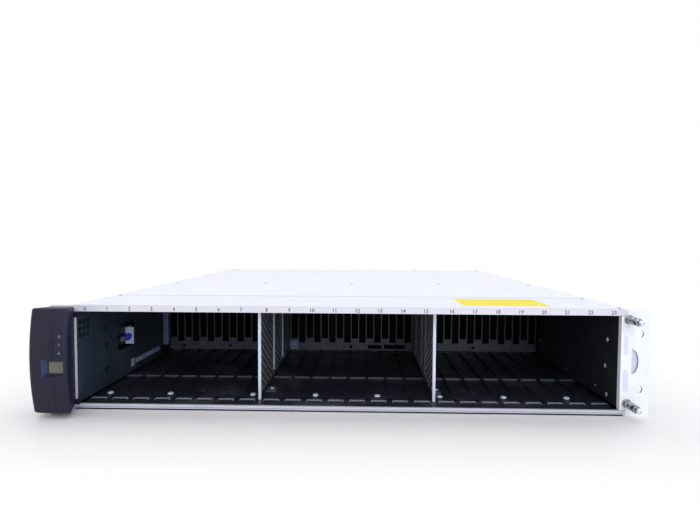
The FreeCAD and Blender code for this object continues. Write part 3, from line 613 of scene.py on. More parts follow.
def lathe(name: str, profile: Sequence[Flat], sides: int = 24, smooth: float = 0.0,
          unit: float = MM) -> bpy.types.Mesh:
    """A form turned about the Z axis.

    Args:
        name: The mesh's name.
        profile: Heights and radii from foot to top, with closed ends where a radius is 0.
        sides: Facets round it.
        smooth: The angle in degrees up to which an edge is shaded smooth.
        unit: What one unit of the profile measures in metres.

    Returns:
        The mesh.
    """
    bm = bmesh.new()
    turn = 2 * math.pi / sides
    rings = []
    for height, radius in profile:
        count = sides if radius else 1
        rings.append([bm.verts.new((radius * unit * math.cos(turn * k), radius * unit * math.sin(turn * k),
                                    height * unit)) for k in range(count)])
    for lower, upper in zip(rings, rings[1:]):
        for k in range(sides):
            corners = [lower[k % len(lower)], lower[(k + 1) % len(lower)],
                       upper[(k + 1) % len(upper)], upper[k % len(upper)]]
            unique = list(dict.fromkeys(corners))
            if len(unique) > 2:
                bm.faces.new(unique)
    return mesh_of(bm, name, smooth)


def lofted(rings: Sequence[Sequence[Point]], name: str) -> bpy.types.Mesh:
    """A closed mesh through rings.

    Args:
        rings: The rings from one end to the other.
        name: The mesh's name.

    Returns:
        The mesh.
    """
    bm = bmesh.new()
    add_rings(bm, rings)
    return mesh_of(bm, name)


def carved(mesh: bpy.types.Mesh, tools: Sequence[Tuple[str, bpy.types.Mesh]]) -> bpy.types.Mesh:
    """Cuts tools out of a mesh or joins them to it, one after another.

    Args:
        mesh: The mesh to start from.
        tools: DIFFERENCE or UNION, each with a closed mesh that lends its finish to the cut.

    Returns:
        The carved mesh.
    """
    scene = bpy.context.scene.collection.objects
    for operation, tool in tools:
        work = bpy.data.objects.new("work", mesh)
        other = bpy.data.objects.new("tool", tool)
        scene.link(work)
        scene.link(other)
        cut = work.modifiers.new("cut", "BOOLEAN")
        cut.object = other
        cut.operation = operation
        cut.solver = "EXACT"
        cut.material_mode = "TRANSFER"
        bpy.context.view_layer.update()
        mesh = bpy.data.meshes.new_from_object(work.evaluated_get(bpy.context.evaluated_depsgraph_get()))
        bpy.data.objects.remove(work)
        bpy.data.objects.remove(other)
    return mesh


class Facing(Enum):
    """The way that a small fitting faces, as turns about X, Y and Z."""

    UP = (0.0, 0.0, 0.0)
    FRONT = (math.pi / 2, 0.0, 0.0)
    BACK = (-math.pi / 2, 0.0, 0.0)
    RIGHT = (0.0, math.pi / 2, 0.0)
    LEFT = (0.0, -math.pi / 2, 0.0)


class Growth(Tree):
    """A Geometry Nodes tree that grows one mesh on a set of points, with named sizes as inputs."""

    def __init__(self, name: str, sizes: Dict[str, float]) -> None:
        """Makes the tree with its inputs and its one output.

        Args:
            name: The tree's name.
            sizes: Its named sizes, whole numbers or lengths.
        """
        group = bpy.data.node_groups.new(name, "GeometryNodeTree")
        super().__init__(group)
        self.sizes = sizes
        group.interface.new_socket("Points", in_out="INPUT", socket_type="NodeSocketGeometry")
        for size, value in sizes.items():
            kind = "NodeSocketInt" if isinstance(value, int) else "NodeSocketFloat"
            group.interface.new_socket(size, in_out="INPUT", socket_type=kind)
        group.interface.new_socket("Geometry", in_out="OUTPUT", socket_type="NodeSocketGeometry")
        self.inputs = group.nodes.new("NodeGroupInput")
        self.outputs = group.nodes.new("NodeGroupOutput")

    def size(self, name: str) -> Value:
        """A named input as a value in the tree."""
        return Value(self, self.inputs.outputs[name])

    def stamp(self, mesh: bpy.types.Mesh) -> Value:
        """A mesh made beforehand, as geometry in the tree.

        Args:
            mesh: The mesh.

        Returns:
            Its geometry.
        """
        self.form = bpy.data.objects.new(self.tree.name + "_form", mesh)
        return self.node("GeometryNodeObjectInfo", sockets={"Object": self.form}, output="Geometry")

    def scatter(self, form: Value, facing: Facing) -> Value:
        """Puts a form on every point.

        Args:
            form: The form's geometry.
            facing: The way that it faces.

        Returns:
            The instances.
        """
        return self.node("GeometryNodeInstanceOnPoints", sockets={
            "Points": self.size("Points"), "Instance": form, "Rotation": facing.value})

    def grow(self, geometry: Value, finish: Finish, places: Sequence[Point] = ()) -> bpy.types.Mesh:
        """Ends the tree, runs it and gives a plain mesh.

        Args:
            geometry: What the tree made.
            finish: The finish of its faces.
            places: The points.

        Returns:
            The mesh.
        """
        real = self.node("GeometryNodeRealizeInstances", sockets={0: geometry})
        dressed = self.node("GeometryNodeSetMaterial", sockets={
            "Geometry": real, "Material": finish.material()})
        self.tree.links.new(dressed.socket, self.outputs.inputs[0])
        points = bpy.data.meshes.new(self.tree.name)
        points.from_pydata(list(places), [], [])
        seed = bpy.data.objects.new(self.tree.name, points)
        bpy.context.scene.collection.objects.link(seed)
        modifier = seed.modifiers.new("grow", "NODES")
        modifier.node_group = self.tree
        for item in self.tree.interface.items_tree:
            if item.in_out == "INPUT" and item.name in self.sizes:
                modifier[item.identifier] = self.sizes[item.name]
        depsgraph = bpy.context.evaluated_depsgraph_get()
        mesh = bpy.data.meshes.new_from_object(seed.evaluated_get(depsgraph))
        seed.modifiers.remove(modifier)
        bpy.data.objects.remove(seed)
        return mesh


@dataclass
class Repeated:
    """One small form, made once and put at many places on one body."""

    name: str
    form: bpy.types.Mesh
    places: Sequence[Point]
    finish: Finish
    slot: str
    facing: Facing = Facing.UP
    body: str = "chassis"
    size: float = 1.0

    def build(self) -> bpy.types.Object:
        """Grows the copies.

        Returns:
            The piece.
        """
        growth = Growth(self.name, {"Size": self.size})
        form = growth.node("GeometryNodeTransform", sockets={
            "Geometry": growth.stamp(self.form), "Scale": growth.node(
                "ShaderNodeCombineXYZ", sockets={axis: growth.size("Size") for axis in range(3)})})
        mesh = growth.grow(growth.scatter(form, self.facing), self.finish, self.places)
        bpy.data.objects.remove(growth.form)
        return piece(self.name, mesh, self.finish, self.body, self.slot)


@dataclass
class Screws:
    """Round screw heads with a six-sided drive, all facing one way on one body."""

    name: str
    places: Sequence[Point]
    facing: Facing = Facing.UP
    radius: float = 2.6 * MM
    height: float = 1.0 * MM
    body: str = "chassis"
    finish: Finish = BRIGHT
    slot: str = "zinc_steel"
    taper: float = 0.8
    drive_width: float = 0.58
    drive_start: float = 0.9
    cup_width: float = 0.56
    cup_heights: Tuple[float, float, float] = (0.38, 0.52, 0.48)

    def build(self) -> None:
        """Grows a head with Geometry Nodes, puts one at each place and paints shade into the drives."""
        growth = Growth(self.name, {"Radius": self.radius, "Height": self.height})
        radius, height = growth.size("Radius"), growth.size("Height")
        skirt = growth.node("GeometryNodeMeshCone", {"fill_type": "NGON"}, {
            "Vertices": 20, "Radius Top": radius * self.taper, "Radius Bottom": radius, "Depth": height})
        drive = growth.node("GeometryNodeMeshCylinder", {"fill_type": "NGON"}, {
            "Vertices": 6, "Radius": radius * self.drive_width, "Depth": height})
        lift = growth.node("ShaderNodeCombineXYZ", sockets={"Z": height * self.drive_start})
        sunk = growth.node("GeometryNodeTransform", sockets={"Geometry": drive, "Translation": lift})
        head = growth.node("GeometryNodeMeshBoolean", {"operation": "DIFFERENCE"}, {0: skirt, 1: sunk})
        mesh = growth.grow(growth.scatter(head, self.facing), self.finish, self.places)
        piece(self.name, mesh, self.finish, self.body, self.slot)
        # A near-black cup in each drive: painted shade.
        width = self.radius * self.cup_width
        floor, rim, middle = (self.height * share for share in self.cup_heights)
        profile = [(floor, 0), (floor, width), (rim, width), (middle, 0)]
        cup = lathe(self.name + "_drive", profile, 6, unit=1.0)
        Repeated(self.name + "_drives", cup, self.places, PAINTED_SHADE, self.slot, self.facing, self.body).build()


# --- The shelf's pieces --------------------------------------------------------------------------
class Shade(Enum):
    """Which finish each carried-over part takes."""

    CHASSIS = (SILL, ("chassis_tray",))
    PARTITIONS = (CASE, ("rear_partition_left", "rear_partition_right", "module_shelf"))
    FRONT = (FRONT_TOP, ("front_plate",))
    TOP = (WHITE_TOP, ("rear_cover",))
    EARS = (EAR, ("ear_left", "ear_right"))
    BRACKET = (STRAP, ("latch_bracket",))
    FLOOR = (BLACK, ("floor_guide_front",))
    REAR_FLOOR = (STEP, ("floor_guide_rear",))
    CEILING = (CEILING, ("ceiling_guide",))
    STIFFENER = (PLATE, ("stiffener",))
    WALL = (BLACK_WALL, ("liner_right",))
    LEFT_WALL = (LEFT_WALL_WITH_REFLECTION, ("liner_left",))
    FLANGE = (FLANGE, ("wall_flange",))
    DIVIDERS = (BRIGHT, ("divider_left", "divider_right"))
    STUDS = (STUD, ("ball_studs",))
    CAP = (CAP, ("end_cap",))
    WINDOW = (WINDOW, ("display_window",))
    KNOB = (KNOB, ("latch_knob",))
    BOARDS = (BOARD, ("midplane_board", "operator_board"))
    CONNECTORS = (CONNECTOR, ("drive_connectors", "module_connectors"))
    DISPLAY = (DISPLAY, ("digit_display",))
    CASES = (CASE, ("module_case_*", "supply_case_*"))
    PANELS = (ZINC, ("module_panel_*", "supply_panel_*"))
    LEVERS = (LEVER, ("module_lever_*", "supply_lever_*"))
    FANS = (FAN, ("supply_fan_*", "supply_inlet_*", "supply_rocker_*"))
    BAILS = (STUD_BRIGHT, ("supply_bail_*",))

    def dress(self) -> None:
        """Gives the parts their finish."""
        finish, names = self.value
        for name, node in frame["nodes"].items():
            if any(name == known or known.endswith("*") and name.startswith(known[:-1]) for known in names):
                node.data.materials.clear()
                node.data.materials.append(finish.material())
                LOG.info("%s: %s", name, finish.name)


@dataclass
class BayNumbers:
    """The plain numbers printed on the strip above the bays."""

    height: float = 3.1 * MM
    ink: float = 0.04 * MM
    strip: float = 5.0 * MM
    type_size: float = 1.35
    weight: float = 0.08 * MM

    def build(self) -> None:
        """Prints one number above each bay."""
        low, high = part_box("front_plate")
        foot = high.z - (self.strip + self.height) / 2
        upright = Matrix.Rotation(math.pi / 2, 4, "X")
        bm = bmesh.new()
        for number, x in enumerate(bay_places()):
            curve = bpy.data.curves.new("digit", "FONT")
            curve.body = str(number)
            curve.size = self.height * self.type_size
            curve.offset = self.weight
            curve.align_x = "CENTER"
            curve.resolution_u = 2
            digit = bpy.data.objects.new("digit", curve)
            mesh = bpy.data.meshes.new_from_object(digit)
            mesh.transform(Matrix.Translation((x, low.y - self.ink, foot)) @ upright)
            bm.from_mesh(mesh)
            bpy.data.meshes.remove(mesh)
            bpy.data.objects.remove(digit)
        mesh = bpy.data.meshes.new("bay_numbers")
        bm.to_mesh(mesh)
        bm.free()
        piece("bay_numbers", mesh, INK_AND_SHADE, "chassis", "white_steel")


@dataclass
class EndCap:
    """The moulded cap over the left ear: crowned, hollow, with a display pocket and stud sockets."""

    crown: float = 3.8 * MM
    side_crown: float = 0.7 * MM
    corner: float = 4.2 * MM
    brow: float = 0.6 * MM
    ridge_inset: float = 9.7 * MM
    rear_inset: float = 9.2 * MM
    bevel_width: float = 3.0 * MM
    bevel_depth: float = 2.8 * MM
    wall: float = 1.8 * MM
    edge: float = 1.4 * MM
    crease: float = 0.9 * MM
    rake: Flat = (-1.3 * MM, 0.9 * MM)
    foot: float = 4.5 * MM
    socket_radius: float = 5.1 * MM
    socket_reach: Flat = (6.0 * MM, 17.0 * MM)
    bore: float = 3.5 * MM
    opening_reach: float = 8.0 * MM
    # Depth, left, right, foot, head and flare of the pocket's mouth and of its inner end
    pocket_ends: Sequence[Tuple[float, ...]] = (
        (-4.9, -5.2, 3.0, -1.25, 1.45, 1.65), (-0.02, -1.0, 0.0, -1.2, 1.4, 0.0))
    lip_rows: Sequence[Flat] = ((4.7, 8.6), (76.1, 80.2))
    mark_inset: float = 5.0 * MM
    mark_heights: Tuple[float, float, float] = (64.8, 58.6, 52.5)
    dots_middle: Flat = (10.9, 56.6)
    dots_pitch: Flat = (1.7, 2.1)
    spans: int = 28
    body: str = "end_cap"
    slot: str = "purple_plastic"

    def __post_init__(self) -> None:
        """Takes the corners of the cap and of its window from the frame."""
        self.low, self.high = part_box("end_cap")
        self.window_low, self.window_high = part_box("display_window")

    def crown_at(self, z: float) -> float:
        """The share of the full crown at a height: 0 at the ends and 1 in the middle."""
        share = (2 * z - self.low.z - self.high.z) / (self.high.z - self.low.z)
        return max(0.0, 1 - share ** 2)

    def front_at(self, x: float, z: float) -> float:
        """How far forward the front face lies beside the ridge.

        Args:
            x: Across.
            z: Up.

        Returns:
            The place along the shelf.
        """
        front = self.low.y + self.crown * (1 - self.crown_at(z))
        ridge, turn = self.high.x - self.ridge_inset, self.high.x - self.bevel_width
        if x < ridge:
            outer = self.low.x + self.corner
            return front + self.brow * min(1.0, (ridge - x) / (ridge - outer))
        return front + self.brow * (x - ridge) / (turn - ridge)

    def outline(self, crown: float, inset: float, back: float) -> List[Flat]:
        """The cap from above.

        Args:
            crown: The share of the crown.
            inset: How far inside the cap's face.
            back: The place of its open back.

        Returns:
            The points in turn.
        """
        front = self.low.y + self.crown * (1 - crown) + inset
        outer = self.low.x + self.side_crown * (1 - crown) + inset
        inner = self.high.x - inset
        points = [(outer, back), (outer, front + 2.2 * self.corner)]
        for step in range(9):
            angle = math.pi + math.pi / 2 * step / 8
            points.append((outer + self.corner * (1 + math.cos(angle)),
                           front + self.brow + self.corner * (1 + math.sin(angle))))
        ridge, half = self.high.x - self.ridge_inset, self.crease / 2
        points += [(ridge - half, front), (ridge, front + self.crease * 0.5), (ridge + half, front)]
        start = Vector((inner - self.bevel_width, front + self.brow))
        knee = Vector((inner - self.bevel_width / 5, front + self.brow * 1.4))
        end = Vector((inner, front + self.bevel_depth))
        for step in range(6):
            t = step / 5
            points.append(tuple(start * (1 - t) ** 2 + knee * (2 * t * (1 - t)) + end * t ** 2))
        points.append((self.high.x - self.rear_inset - inset, back))
        return points

    def shell(self) -> bpy.types.Mesh:
        """The outer form, with soft upper and lower edges."""
        low, high = UNDERSIDE + self.foot, self.high.z
        levels = []
        for step in range(5):
            angle = math.pi / 2 * step / 4
            levels.append((low + self.edge * (1 - math.cos(angle)), self.edge * (1 - math.sin(angle))))
        levels += [(low + self.edge + (high - low - 2 * self.edge) * k / self.spans, 0.0)
                   for k in range(1, self.spans)]
        levels += [(low + high - z, inset) for z, inset in reversed(levels[:5])]
        rings = [[(x, y, self.raked(y, z)) for x, y in self.outline(self.crown_at(z), inset, 0.0)]
                 for z, inset in levels]
        return lofted(rings, "cap_shell")

    def raked(self, y: float, z: float) -> float:
        """The height of a point with the cap's head tipped back.

        Args:
            y: Along the shelf.
            z: Its height before.

        Returns:
            Its height.
        """
        share = max(0.0, (z - (self.low.z + self.high.z) / 2) * 2 / (self.high.z - self.low.z))
        back, front = self.rake
        return z + share ** 2 * (back + (front - back) * y / self.low.y)

    def hollow(self) -> bpy.types.Mesh:
        """The cavity, open at the back."""
        flat = self.outline(0.0, self.wall, MM)
        low, high = UNDERSIDE + self.foot + self.wall, self.high.z - self.wall - MM
        mesh = lofted([[(x, y, z) for x, y in flat] for z in (low, high)], "cap_hollow")
        mesh.materials.append(CAP_SHADE.material())
        return mesh

    def pocket(self) -> bpy.types.Mesh:
        """The display pocket: wide at the face, and narrowing to the window."""
        low, high = self.window_low, self.window_high
        rings = []
        for depth, left, right, foot, head, flare in self.pocket_ends:
            outer = low.x + left * MM
            inner = high.x + right * MM
            corners = [(outer, low.z + (foot - flare) * MM), (inner, low.z + foot * MM),
                       (inner, high.z + head * MM), (outer, high.z + (head + flare) * MM)]
            rings.append([(x, low.y + depth * MM, z) for x, z in corners])
        mesh = lofted(rings, "cap_pocket")
        # One facet takes the lit copy and the rest the shaded copy: painted light and shade.
        for finish in (POCKET_LIT_FACET, CAP_SHADE):
            mesh.materials.append(finish.material())
        for face in mesh.polygons:
            face.material_index = 0 if face.normal.x < -0.5 else 1
        return mesh

    def build(self) -> None:
        """Carves the cap and prints its marks."""
        studs_low, studs_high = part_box("ball_studs")
        x = studs_low.x + Studs.collar
        heights = (studs_low.z + Studs.collar, studs_high.z - Studs.collar)
        front, back = (self.low.y + reach for reach in self.socket_reach)
        tools = [("DIFFERENCE", self.hollow())]
        for z in heights:
            tools.append(("UNION", self.turned(x, z, self.socket_radius, front, back)))
        for z in heights:
            tools.append(("DIFFERENCE", self.turned(x, z, self.bore, studs_low.y - 0.3 * MM, MM)))
        tools.append(("DIFFERENCE", self.pocket()))
        opening = ((self.window_low.x, self.window_low.y - MM, self.window_low.z),
                   (self.window_high.x, self.low.y + self.opening_reach, self.window_high.z))
        tools.append(("DIFFERENCE", blocks("cap_opening", [opening])))
        shell = self.shell()
        shell.materials.append(CAP.material())
        # Cut faces take the darker copy: painted shade.
        for _, tool in tools:
            if not tool.materials:
                tool.materials.append(CAP_SHADE.material())
        mesh = shaded(carved(shell, tools), 32.0)
        mesh.name = "cap_moulding"
        made = piece("cap_moulding", mesh, CAP, self.body, self.slot)
        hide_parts("end_cap")
        self.lips()
        self.marks()

    @staticmethod
    def turned(x: float, z: float, radius: float, y0: float, y1: float) -> bpy.types.Mesh:
        """A round bar along the shelf.

        Args:
            x: Its middle across.
            z: Its middle up.
            radius: Its radius.
            y0: Its front.
            y1: Its back.

        Returns:
            Its mesh.
        """
        ring = [(x + radius * math.cos(2 * math.pi * k / 20), z + radius * math.sin(2 * math.pi * k / 20))
                for k in range(20)]
        return lofted([[(a, y, b) for a, b in ring] for y in (y0, y1)], "cap_bar")

    def lips(self) -> None:
        """The two short lips that hook over the inner edge of the ear."""
        x = self.high.x - self.rear_inset
        spans = [((x - 0.9 * MM, -3.0 * MM, UNDERSIDE + low * MM), (x + 4.7 * MM, 0.0, UNDERSIDE + high * MM))
                 for low, high in self.lip_rows]
        piece("cap_lips", blocks("cap_lips", spans, 0.3 * MM, 30.0), CAP, self.body, self.slot)

    def marks(self) -> None:
        """Three plain printed marks above the display, a ring, a bar and a wedge, and a patch of dots."""
        x = self.high.x - self.mark_inset
        ring_height, bar_height, wedge_height = (UNDERSIDE + up * MM for up in self.mark_heights)
        bm = bmesh.new()
        ring = [(math.cos(a), math.sin(a)) for a in (math.pi * k / 8 for k in range(16))]
        for k in range(16):
            corners = [(ring[j][0] * r, ring[j][1] * r) for j, r in
                       ((k, 1.1), ((k + 1) % 16, 1.1), ((k + 1) % 16, 0.75), (k, 0.75))]
            self.print_on(bm, x, ring_height, corners)
        self.print_on(bm, x, bar_height, [(-0.3, -1.1), (0.3, -1.1), (0.3, 1.1), (-0.3, 1.1)])
        self.print_on(bm, x, wedge_height, [(-1.0, -0.9), (1.0, -0.9), (0.0, 0.9)])
        piece("cap_marks", mesh_of(bm, "cap_marks"), PRINT, self.body, self.slot)
        form = lathe("cap_dot", [(0.0, 0.0), (0.0, 0.5), (0.08, 0.45), (0.08, 0.0)], 8)
        (inset, middle), (step_x, step_z) = self.dots_middle, self.dots_pitch
        spots = [(self.high.x - (inset + step_x * (k % 3 - 1)) * MM,
                  UNDERSIDE + (middle + step_z * (k // 3 - 3)) * MM) for k in range(21)]
        places = [(a, self.front_at(a, b) - 0.02 * MM, b) for a, b in spots]
        Repeated("cap_dots", form, places, PAINTED_SHADE, self.slot, Facing.FRONT, self.body).build()

    def print_on(self, bm: bmesh.types.BMesh, x: float, z: float, corners: Sequence[Flat]) -> None:
        """Lays a thin mark on the front face.

        Args:
            bm: Where it goes.
            x: Its middle across.
            z: Its middle up.
            corners: Its corners about that middle, in millimetres.
        """
        points = [(x + a * MM, z + b * MM) for a, b in corners]
        add_plate(bm, [(a, self.front_at(a, b) - 0.05 * MM, b) for a, b in points], (0, 0.07 * MM, 0))


@dataclass
class Studs:
    """The turned ball studs on the ears: dark barrels between a collar and a bright ball."""

    collar: float = 3.7 * MM

    def build(self) -> None:
        """Turns one stud in two finishes and grows the four copies."""
        low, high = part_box("ball_studs")
        places = [(x, 0.0, z) for x in (low.x + self.collar, high.x - self.collar)
                  for z in (low.z + self.collar, high.z - self.collar)]
        steel = [(0, 0), (0, 3.7), (0.9, 3.7), (1.3, 3.3), (1.3, 3.1), (1.7, 3.1), (2.0, 2.9), (2.6, 3.1),
                 (8.2, 3.1), (8.5, 2.8), (8.6, 2.4), (9.9, 2.4), (10.0, 2.9), (10.3, 3.1), (14.4, 3.1),
                 (14.9, 2.7), (15.1, 1.7), (16.4, 1.6)]
        round_part = [(18.0 - 2.2 * math.cos(math.radians(a)), 2.2 * math.sin(math.radians(a)))
                      for a in range(40, 156, 10)]
        ball = [(16.2, 0)] + round_part + [(20.0, 0.85), (19.2, 0.8), (19.2, 0)]
        for name, profile, finish in (("stud_barrels", steel, STUD), ("stud_balls", ball, STUD_BRIGHT)):
            form = lathe(name + "_form", profile, smooth=40.0)
            made = Repeated(name, form, places, finish, "stud_steel", Facing.FRONT).build()
            shaded(made.data, 40.0)
            if name == "stud_barrels":
                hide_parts("ball_studs")


@dataclass
class Divider:
    """A perforated upright with its front hem, ribs and foot."""

    node: str
    pitch: float = 7.0 * MM
    hole: float = 2.3 * MM
    sheet: float = 1.2 * MM
    hem: float = 2.4 * MM
    hem_length: float = 2.6 * MM
    reach: float = 1.5 * MM
    margin: float = 1.2 * MM
    rib_lift: float = 10.1 * MM
    rib_rows: Tuple[Tuple[float, ...], ...] = ((82.5, 134.0), (69.0, 97.0, 147.0))
    foot_width: float = 10.0 * MM
    foot_reach: Flat = (44.0 * MM, 54.0 * MM)
    foot_screw: Flat = (5.6 * MM, 49.0 * MM)

    def build(self) -> None:
        """Makes the web by Geometry Nodes and the folded edges beside it."""
        low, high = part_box(self.node)
        centre = high.x - self.foot_width
        web = self.web(low, high, centre)
        made = piece(self.node + "_web", web, WEB, "chassis", "zinc_steel")
        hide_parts(self.node)
        # The borders take the near-black copy of the sheet: painted shade.
        bm = bmesh.new()
        self.borders(bm, low, high, centre)
        piece(self.node + "_border", mesh_of(bm, "border"), BORDER, "chassis", "zinc_steel")
        # The hem takes the bright zinc beside the darker web: painted highlight on the lit front edge.
        hem = ((centre - self.hem / 2, low.y, low.z),
               (centre + self.hem / 2, low.y + self.hem_length, high.z))
        piece(self.node + "_hem", blocks("hem", [hem], 0.3 * MM, 30.0), BRIGHT, "chassis", "zinc_steel")
        near, far = self.sheet / 2, self.sheet / 2 + self.reach
        # The right-hand ribs take the lit copy and the left-hand ribs the shaded one: painted light and
        # shade.
        for left, right, rows, name, finish in ((near, far, self.rib_rows[0], "right", RIB),
                                                (-far, -near, self.rib_rows[1], "left", RIB_PAINTED_SHADE)):
            spans = [((centre + left, y * MM, low.z + self.rib_lift),
                      (centre + right, y * MM + self.sheet, high.z)) for y in rows]
            ribs = blocks("ribs", spans, 0.2 * MM, 30.0)
            piece(f"{self.node}_ribs_{name}", ribs, finish, "chassis", "zinc_steel")
        self.foot(low, centre)

    def foot(self, low: Vector, centre: float) -> None:
        """The small tab that holds the divider down, with its screw.

        Args:
            low: The lowest corner of the divider.
            centre: The middle of the sheet across the shelf.
        """
        outline = rounded(centre - self.sheet / 2, centre + self.foot_width, *self.foot_reach, 1.5 * MM)
        tab = plate("foot", [(x, y, low.z) for x, y in outline], (0, 0, self.sheet))
        piece(self.node + "_foot", tab, WEB, "chassis", "zinc_steel")
        x, y = self.foot_screw
        Screws(self.node + "_foot_screw", [(centre + x, y, low.z + self.sheet + 0.45 * MM)],
               radius=2.2 * MM, finish=RIB).build()

    def web(self, low: Vector, high: Vector, centre: float) -> bpy.types.Mesh:
        """Grows the perforated sheet: six-sided cells round holes, staggered from row to row.

        Args:
            low: The lowest corner of the divider.
            high: Its highest corner.
            centre: The middle of the sheet across the shelf.

        Returns:
            The sheet's mesh.
        """
        step = self.pitch * math.sqrt(3) / 2
        columns = int((high.y - low.y - self.hem_length - 2 * self.margin) / step)
        rows = int((high.z - low.z - 2 * self.margin) / self.pitch)
        growth = Growth(self.node + "_web", {"Pitch": self.pitch, "Hole": self.hole, "Sheet": self.sheet,
                                             "Columns": columns, "Rows": rows})
        pitch = growth.size("Pitch")
        hole = growth.node("GeometryNodeCurvePrimitiveCircle",
                           sockets={"Resolution": 12, "Radius": growth.size("Hole")})
        cell = growth.node("GeometryNodeCurvePrimitiveCircle",
                           sockets={"Resolution": 6, "Radius": pitch / math.sqrt(3)})
        both = growth.node("GeometryNodeJoinGeometry", sockets={0: [hole, cell]})
        tile = growth.node("GeometryNodeFillCurve", sockets={"Curve": both})
        grid = growth.node("GeometryNodeMeshGrid", sockets={
            "Size X": pitch * math.sqrt(3) / 2 * (growth.size("Columns") - 1),
            "Size Y": pitch * (growth.size("Rows") - 1),
            "Vertices X": growth.size("Columns"), "Vertices Y": growth.size("Rows")})
        column = (growth.node("GeometryNodeInputIndex") / growth.size("Rows")).maths("FLOOR")
        shift = growth.node("ShaderNodeCombineXYZ", sockets={"Y": column.maths("MODULO", 2.0) * pitch * 0.5})
        points = growth.node("GeometryNodeSetPosition", sockets={"Geometry": grid, "Offset": shift})
        tiles = growth.node("GeometryNodeInstanceOnPoints", sockets={"Points": points, "Instance": tile})
        real = growth.node("GeometryNodeRealizeInstances", sockets={0: tiles})
        flat = growth.node("GeometryNodeMergeByDistance", sockets={"Geometry": real, "Distance": 0.05 * MM})
        thick = growth.node("GeometryNodeExtrudeMesh", {"mode": "FACES"}, {
            "Mesh": flat, "Offset Scale": growth.size("Sheet"), "Individual": False})
        back = growth.node("GeometryNodeFlipFaces", sockets={"Mesh": flat})
        mesh = growth.grow(growth.node("GeometryNodeJoinGeometry", sockets={0: [thick, back]}), WEB)
        middle = Vector((centre - self.sheet / 2, (low.y + self.hem_length + high.y) / 2,
                         (low.z + high.z) / 2 - self.pitch / 4))
        mesh.transform(Matrix(((0, 0, 1, middle.x), (1, 0, 0, middle.y), (0, 1, 0, middle.z), (0, 0, 0, 1))))
        return mesh

    def borders(self, bm: bmesh.types.BMesh, low: Vector, high: Vector, centre: float) -> None:
        """Adds the plain borders of the web.

        Args:
            bm: Where they go.
            low: The lowest corner of the divider.
            high: Its highest corner.
            centre: The middle of the sheet across the shelf.
        """
        half = self.sheet / 2
        step_low, step_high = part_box("floor_guide_rear")
        step_top = step_high.z - 2.2 * MM
        border = self.margin + self.pitch / 2
        for y0, y1, z0, z1 in ((low.y + MM, high.y, high.z - border, high.z),
                               (low.y + MM, step_low.y - 0.3 * MM, low.z, low.z + border),
                               (step_low.y - MM, high.y, step_top, low.z + border),
                               (high.y - border, high.y, low.z + border, high.z)):
            add_box(bm, (centre - half, y0, z0), (centre + half, y1, z1))


